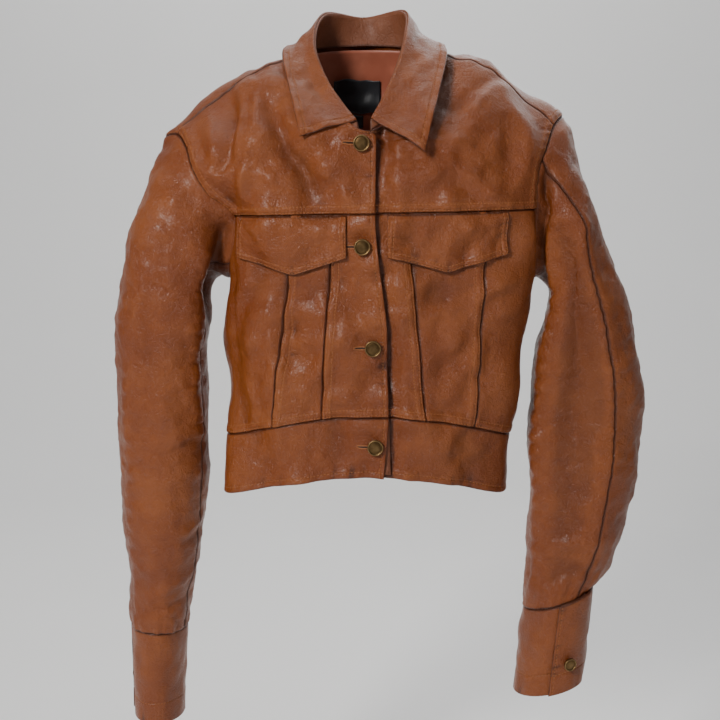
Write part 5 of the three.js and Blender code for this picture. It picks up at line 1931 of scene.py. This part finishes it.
@dataclass
class Sleeve:
    """A two-piece sleeve with its lining, and the cuff.

    rings are the sleeve's sections, each its outer point, inner point and depth. bend is handed to the
    sleeve's carrier as the two ends of a blend from the body to the sleeve, which the carrier does not make.
    tuck is the
    hollow below the armhole at the front: its depth, how far down it is, its spread, and the turns between
    which it runs.
    """

    side: Side
    shop: Workshop
    rings: tuple
    cuff_end: tuple
    seams: tuple
    opening: float
    bend: tuple
    tuck: tuple
    centre_y: float = -4
    lap: float = 0.07
    lift: float = 3.8
    lining_gap: float = 7.0

    def ring_point(self, ring: tuple, turn: Array, grow: Array = 0.0) -> Array:
        """A ring's point: 0 outermost, a quarter turn at the front, a half against the body."""
        (ox, oz), (ix, iz), depth = ring
        c, s = np.cos(2 * math.pi * turn), np.sin(2 * math.pi * turn)
        width = math.hypot(ox - ix, oz - iz) / 2
        across = c * (width + grow) / width / 2
        return point(
            (ox + ix) / 2 + across * (ox - ix),
            self.centre_y - s * (depth + grow),
            (oz + iz) / 2 + across * (oz - iz),
        )

    @staticmethod
    def ring_turn(turn: Array) -> Array:
        """The ring's turn that follows the armhole's, which reaches the armpit past halfway."""
        whole = np.floor(turn)
        t = turn - whole
        return whole + np.where(t < ARMPIT, 0.5 * t / ARMPIT, 0.5 + 0.5 * (t - ARMPIT) / (1 - ARMPIT))

    def surface(self, start: float, end: float) -> Surface:
        """The sleeve between two turns, from the armhole to the cuff seam."""
        armhole = TORSO.armhole(self.side)

        def place(u: Array, v: Array) -> Array:
            u, v = np.broadcast_arrays(np.asarray(u, float), np.asarray(v, float))
            turn = lerp(start, end, u)
            ring_turn = self.ring_turn(turn)
            points = [armhole(np.mod(turn, 1.0)), *(self.ring_point(r, ring_turn) for r in self.rings)]
            return Spline(np.stack(points, axis=-2)).at(v)

        return place

    def folds(self, start: float, end: float) -> Callable[[Array, Array, Array], Array]:
        """The sleeve's folds, which run on across its seams."""
        creases = SLEEVE_CREASES[self.side]
        top_z = self.rings[-1][0][1]

        def height(u: Array, v: Array, base: Array) -> Array:
            turn = np.mod(self.ring_turn(lerp(start, end, u)), 1.0)
            z = base[..., 2]
            total = sum(total_relief(creases, (turn + shift) * GIRTH, z) for shift in (-1, 0, 1))
            soft = 1.3 * waves(base, 95, 61) + 0.55 * waves(base, 27, 62) + 0.3 * waves(base, 12, 63)
            reach = length_of(base - self.surface(start, end)(u, np.zeros_like(u)))
            depth, middle, spread, first, last = self.tuck
            ahead = smooth(turn, first, first + 0.1) * (1 - smooth(turn, last - 0.07, last))
            total = total - depth * ahead * np.exp(-(((reach - middle) / spread) ** 2))
            gathers = 0.7 * waves(point(turn * GIRTH, 0 * z, 0.1 * z), 9, 64)
            puckers = gathers * np.exp(-np.abs(z - top_z) / 26)
            return (total + soft) * smooth(reach, 1, 16) + puckers * smooth(reach, 10, 60)

        return height

    def lining_folds(self, start: float) -> Callable[[Array, Array, Array], Array]:
        """The lining's folds, which follow the sleeve's."""
        outer = self.folds(0, 1)
        return lambda u, v, base: outer(u, lerp(start, 0.985, v), base) + 0.5 * waves(base, 26, 65)

    def build(self) -> None:
        """Makes every piece of the sleeve and its cuff."""
        name, shop = self.side.value, self.shop
        first, second = self.seams
        top, under = self.surface(second - 1, first), self.surface(first, second)
        half = np.array(0.5), np.array(0.6)
        middle = tuple(lerp(top(*half), under(*half), 0.5))
        carrier = Carrier("torso", f"{name}_sleeve", *self.bend)
        common = {"inside": middle, "direction": None, "bottom": SEAM, "top": SEAM}
        pieces = {
            "top": Panel(f"{name}_sleeve_top_leather", top, left=DOUBLE, right=SEAM, seed=31,
                         extra=self.folds(second - 1, first), **common),
            "under": Panel(f"{name}_sleeve_under_leather", under, left=SEAM, right=SEAM, seed=32,
                           extra=self.folds(first, second), **common),
        }
        for part, panel in pieces.items():
            shop.sew(panel, f"{name}_sleeve_{part}", "leather", carrier)
        start = 0.12
        lining = Panel(
            f"{name}_sleeve_lining_cloth", inset(self.surface(0, 1), 0, 1, start, 0.985),
            left=PLAIN, right=PLAIN, bottom=PLAIN, top=PLAIN, inside=middle, direction=None,
            thickness=1.0, offset=-self.lining_gap - 1.0, pitch=6, round=True,
            extra=self.lining_folds(start),
        )
        shop.sew(lining, f"{name}_sleeve_lining", "lining", carrier, shop.lining)
        self.cuff()

    def flat_cuff(self, v: float, turn: float) -> Array:
        """A place on the cuff's inner wrap."""
        low = self.ring_point(self.cuff_end, np.array(turn))
        high = self.ring_point(self.rings[-1], np.array(turn))
        return lerp(low, high, v)

    def cuff(self) -> None:
        """The cuff, whose upper end laps the lower one under a button."""
        name = self.side.value
        turns = 1 + 2 * self.lap

        def band(u: Array, v: Array) -> Array:
            turn = self.opening - self.lap + turns * u
            rise = self.lift * smooth(u * turns, 1 - self.lap, 1)
            low, high = (self.ring_point(ring, turn, rise) for ring in (self.cuff_end, self.rings[-1]))
            return lerp(low, high, v[..., None])

        centre = lerp(self.flat_cuff(0.5, self.opening), self.flat_cuff(0.5, self.opening + 0.5), 0.5)
        soft = lambda u, v, base: (
            (0.8 * waves(base, 60, 71) + 0.45 * waves(base, 19, 72)) * smooth(v, 0.0, 0.2)
            * smooth(u * turns, 0.02, 0.2) * (1 - smooth(u * turns, turns - 0.2, turns - 0.1))
        )
        panel = Panel(
            f"{name}_cuff_leather", band, inside=tuple(centre), direction=None,
            left=FREE, right=Edge(Finish.FREE, rows=(4.0,), swell=0.2),
            bottom=Edge(Finish.FREE, rows=(25.0,), swell=0.25), top=SEAM, extra=soft, seed=33,
        )
        self.shop.sew(panel, f"{name}_cuff", "leather", Carrier(f"{name}_sleeve"))


@dataclass
class Button:
    """A turned brass button: a low dome inside a thin rim, on a shank."""

    shop: Workshop
    node: str
    axis: Array
    diameter: float

    def profile(self) -> list[tuple[float, float, float]]:
        """Radius, height under the front and wear of each ring, from the middle outwards."""
        r = self.diameter / 2
        return [
            (0.0, 0.55, 0.35), (0.3 * r, 0.6, 0.25), (0.55 * r, 0.75, 0.1), (0.72 * r, 0.98, -0.2),
            (0.77 * r, 1.1, -0.5), (0.81 * r, 0.75, 0.0), (0.85 * r, 0.25, 0.4), (0.9 * r, 0.08, 0.5),
            (0.955 * r, 0.16, 0.45), (0.99 * r, 0.5, 0.3), (r, 1.0, 0.1), (r, 2.1, -0.2),
            (0.96 * r, 2.6, -0.5), (0.84 * r, 2.8, -0.8), (3.5, 2.8, -0.9),
        ]

    def build(self) -> None:
        """Makes the button where its solid is."""
        low, high = (np.array(corner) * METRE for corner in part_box(self.node))
        solid = frame["nodes"][self.node]
        places = np.array([v.co for v in solid.data.vertices]) * METRE
        heights = places @ self.axis
        front, back = heights.max(), heights.min()
        faces_front = abs(self.axis[1]) > 0.999
        centre = (low + high) / 2 if faces_front else places.mean(axis=0)
        centre = centre - self.axis * (centre @ self.axis)
        across = unit(np.cross(self.axis, [0.0, 0.0, 1.0]))
        up = np.cross(across, self.axis)
        sides = 48
        turn = 2 * math.pi * np.arange(sides) / sides
        rings, tone = [], []
        for radius, depth, wear in [*self.profile(), (3.5, front - back, -1.0), (0.0, front - back, -1.0)]:
            ring = centre + self.axis * (front - depth) + max(radius, 0.02) * (
                np.cos(turn)[:, None] * across + np.sin(turn)[:, None] * up)
            rings.append(ring)
            tone += [wear] * sides
        index = np.arange(len(rings) * sides).reshape(-1, sides)
        beside = np.roll(index, -1, axis=1)
        faces = np.stack([index[:-1], index[1:], beside[1:], beside[:-1]], axis=-1).reshape(-1, 4).tolist()
        faces.append(list(range(sides)))
        faces.append([(len(rings) - 1) * sides + k for k in range(sides)][::-1])
        obj = mesh_object(f"{self.node}_brass", np.concatenate(rings), faces, self.shop.brass)
        put_tone(obj, np.array(tone))
        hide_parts(self.node)
        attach(obj, self.node)


@dataclass
class Buttonhole:
    """A slit bound with thread, from a button towards the wearer's right."""

    shop: Workshop
    name: str
    start: tuple
    surface: Callable[[Array, Array], Array]
    length: float = 15.5
    half_width: float = 1.5

    def on_leather(self, x: Array, z: Array, lift: float) -> Array:
        """The places of the leather's face at x and z, lifted a little."""
        places = self.surface(x, z)
        places[..., 1] -= LEATHER + lift
        return places

    def build(self) -> None:
        """Makes the bound edge, and a near-black sheet in the slit that is painted shadow."""
        x0, z0 = self.start
        around, sides = 96, 8
        turn = 2 * math.pi * np.arange(around) / around
        half = self.length / 2
        reach = half * np.sign(np.cos(turn)) * np.abs(np.cos(turn)) ** 0.7
        x = x0 - half - 4.0 + reach
        z = z0 + self.half_width * np.sign(np.sin(turn)) * np.abs(np.sin(turn)) ** 0.5
        path = self.on_leather(x, z, 0.1)
        aim = unit(np.roll(path, -1, axis=0) - np.roll(path, 1, axis=0))
        out = np.broadcast_to(np.array([0.0, -1.0, 0.0]), aim.shape)
        side = unit(np.cross(aim, out))
        girth = 2 * math.pi * np.arange(sides) / sides
        radius = 0.62 * (1 + 0.22 * np.sin(24 * turn))[:, None, None]
        ring = np.cos(girth)[None, :, None] * out[:, None] + np.sin(girth)[None, :, None] * side[:, None]
        tube = path[:, None] + radius * ring
        faces = [
            [a * sides + k, a * sides + (k + 1) % sides, (a + 1) % around * sides + (k + 1) % sides,
             (a + 1) % around * sides + k]
            for a in range(around)
            for k in range(sides)
        ]
        bound = mesh_object(f"{self.name}_binding", tube.reshape(-1, 3), faces, self.shop.thread)
        steps = np.linspace(0, 1, 25)
        middle = x0 - 4.0 - self.length * steps
        gape = 0.9 * np.sin(math.pi * steps) ** 0.5
        low = self.on_leather(middle, z0 - gape, 0.12)
        high = self.on_leather(middle, z0 + gape, 0.12)
        face = np.concatenate([low, high])
        back = face + np.array([0, 0.6, 0])
        n = len(steps)
        lens = [[i, i + 1, n + i + 1, n + i] for i in range(n - 1)]
        rear = [[2 * n + k for k in quad[::-1]] for quad in lens]
        rim = [[i + 1, i, 2 * n + i, 2 * n + i + 1] for i in range(n - 1)]
        rim += [[n + i, n + i + 1, 3 * n + i + 1, 3 * n + i] for i in range(n - 1)]
        rim += [[0, n, 3 * n, 2 * n], [2 * n - 1, n - 1, 3 * n - 1, 4 * n - 1]]
        places = np.concatenate([face, back])
        # The slit is a thin near-black sheet on the leather's face, which is painted shadow.
        slit = mesh_object(f"{self.name}_slit", places, lens + rear + rim, self.shop.shade)
        for piece in (bound, slit):
            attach(piece, "torso")


@dataclass
class Studio:
    """A pale sweep, soft lights and the camera."""

    target: tuple = (-0.005, 0.0, -0.35)
    floor: float = -1.05
    wall: float = 3.2

    def sweep(self) -> None:
        """The floor, which curves up into the backdrop."""
        radius = 1.2
        turn = np.linspace(0, QUARTER, 13)
        y = np.concatenate([[-4.0], self.wall - radius + radius * np.sin(turn), [self.wall]])
        z = np.concatenate([[self.floor], self.floor + radius * (1 - np.cos(turn)), [2.6]])
        x = np.array([-4.0, 4.0])
        places = np.array([(a, b, c) for b, c in zip(y, z) for a in x]) * METRE
        faces = [[2 * i, 2 * i + 1, 2 * i + 3, 2 * i + 2] for i in range(len(y) - 1)]
        g = Graph("pale_paper")
        cloud = g.noise(3.0, 2.0)
        paper = g.finish({
            "Base Color": g.mix(cloud, (0.86, 0.857, 0.85), (0.89, 0.888, 0.882)),
            "Roughness": 0.9,
        })
        mesh_object("sweep", places, faces, paper)

    @staticmethod
    def lamp(name: str, place: tuple, aim: tuple, size: float, power: float, colour: Colour) -> None:
        """A soft square light."""
        data = bpy.data.lights.new(name, "AREA")
        data.size, data.energy, data.color = size, power, colour
        lamp = bpy.data.objects.new(name, data)
        bpy.context.scene.collection.objects.link(lamp)
        lamp.location = place
        lamp.rotation_euler = (Vector(aim) - Vector(place)).to_track_quat("-Z", "Y").to_euler()

    def build(self) -> None:
        """Sets the stage."""
        self.sweep()
        self.lamp("key", (-1.35, -2.1, 1.0), self.target, 0.6, 74.0, (1.0, 0.98, 0.95))
        self.lamp("fill", (1.6, -1.6, -0.3), self.target, 1.2, 3.5, (0.97, 0.98, 1.0))
        self.lamp("top", (0.1, 0.1, 1.2), self.target, 1.2, 3.5, (1.0, 1.0, 1.0))
        self.lamp("wall", (0.0, 1.3, 2.2), (0.0, 3.2, -0.2), 1.5, 55.0, (1.0, 1.0, 1.0))
        self.lamp("behind", (0.6, 0.8, 0.5), self.target, 1.0, 8.0, (1.0, 1.0, 1.0))
        world = bpy.data.worlds.new("studio")
        world.use_nodes = True
        background = world.node_tree.nodes["Background"]
        background.inputs["Color"].default_value = (0.96, 0.97, 1.0, 1.0)
        background.inputs["Strength"].default_value = 0.17
        bpy.context.scene.world = world
        camera = bpy.data.objects.new("camera", bpy.data.cameras.new("camera"))
        camera.data.angle = math.radians(31.6)
        camera.data.clip_start = 0.05
        camera.location = (-0.005, -1.4, -0.12)
        camera.rotation_euler = (math.radians(80.67), 0, 0)
        bpy.context.scene.collection.objects.link(camera)
        bpy.context.scene.camera = camera


# ---- The jacket ----

FRONTS = {
    Side.RIGHT: {"inner_seam": (-33, -46), "outer_seam": (-76, -96), "flap_span": (-131.5, -18.5)},
    Side.LEFT: {"inner_seam": (45, 64), "outer_seam": (128, 119), "flap_span": (25, 148)},
}

SLEEVES = {
    Side.RIGHT: {
        "rings": (
            ((-236, -163), (-168, -270), 60),
            ((-258, -232), (-171, -304), 64),
            ((-270, -316), (-176, -345), 63),
            ((-272, -410), (-175, -415), 59),
            ((-271, -530), (-183, -530), 52),
            ((-268, -600), (-196, -600), 46),
            ((-265, -652), (-205, -655), 40),
        ),
        "cuff_end": ((-264, -762), (-211, -762), 36),
        "seams": (0.5, 0.88),
        "opening": 0.9,
        "bend": ((-220.4, 0, -119.2), (-325, 0, -176)),
        "tuck": (20, 26, 20, 0.28, 0.56),
    },
    Side.LEFT: {
        "rings": (
            ((236, -150), (204, -273), 58),
            ((258, -212), (200, -312), 58),
            ((288, -290), (192, -342), 56),
            ((311, -400), (187, -410), 49),
            ((297, -515), (187, -520), 46),
            ((276, -585), (185, -598), 43),
            ((260, -604), (184, -634), 40),
        ),
        "cuff_end": ((250, -717), (175, -736), 36),
        "seams": (0.22, 0.7),
        "opening": 0.2,
        "bend": ((240, 0, -180), (352, 0, -264)),
        "tuck": (13, 15, 10, 0.14, 0.56),
    },
}


@dataclass
class Jacket:
    """The whole jacket."""

    shop: Workshop = field(default_factory=Workshop)
    button_count: int = 4
    first_drop: float = 112
    button_pitch: float = 105.5
    inset: float = 15.5

    def buttons(self) -> list[tuple[float, float]]:
        """X and z of each front button."""
        drops = [self.first_drop + i * self.button_pitch for i in range(self.button_count)]
        return [(float(TORSO.edge_x(-drop)) - self.inset, -drop) for drop in drops]

    def buttonholes(self, front: Front, relief: TorsoRelief) -> None:
        """Makes the bound slit beside each front button."""

        def face(x: Array, z: Array) -> Array:
            above = z[0] > -TORSO.yoke_drop
            base = locate(front.yoke_surface, x, z) if above else TORSO.front(Side.RIGHT, x, z)
            return base + spine_direction(base) * relief(base)[..., None]

        for i, place in enumerate(self.buttons()):
            Buttonhole(self.shop, f"buttonhole_{i + 1}", place, face).build()

    def build(self) -> None:
        """Makes every piece."""
        relief = TorsoRelief(self.buttons())
        right = Front(Side.RIGHT, self.shop, relief, **FRONTS[Side.RIGHT])
        right.build()
        Front(Side.LEFT, self.shop, relief, cover=right.yoke_surface, **FRONTS[Side.LEFT]).build()
        self.buttonholes(right, relief)
        Back(self.shop, relief).build()
        Collar(self.shop).build()
        for side in Side:
            sleeve = Sleeve(side, self.shop, **SLEEVES[side])
            sleeve.build()
            node = f"{side.value}_cuff_button"
            axis = next(joint["axis"] for joint in frame["joints"] if joint["child"] == node)
            Button(self.shop, node, unit(np.array(axis, float)), 15.0).build()
        for i in range(self.button_count):
            Button(self.shop, f"front_button_{i + 1}", np.array([0.0, -1.0, 0.0]), 17.0).build()
        for name, node in frame["nodes"].items():
            if name.endswith("_tack"):
                node.data.materials.clear()
                node.data.materials.append(self.shop.brass)


def main() -> None:
    """Builds the jacket and its stage."""
    logging.basicConfig(level=logging.INFO)
    Studio().build()
    Jacket().build()
    bpy.context.view_layer.update()


if __name__ == "__main__":
    main()
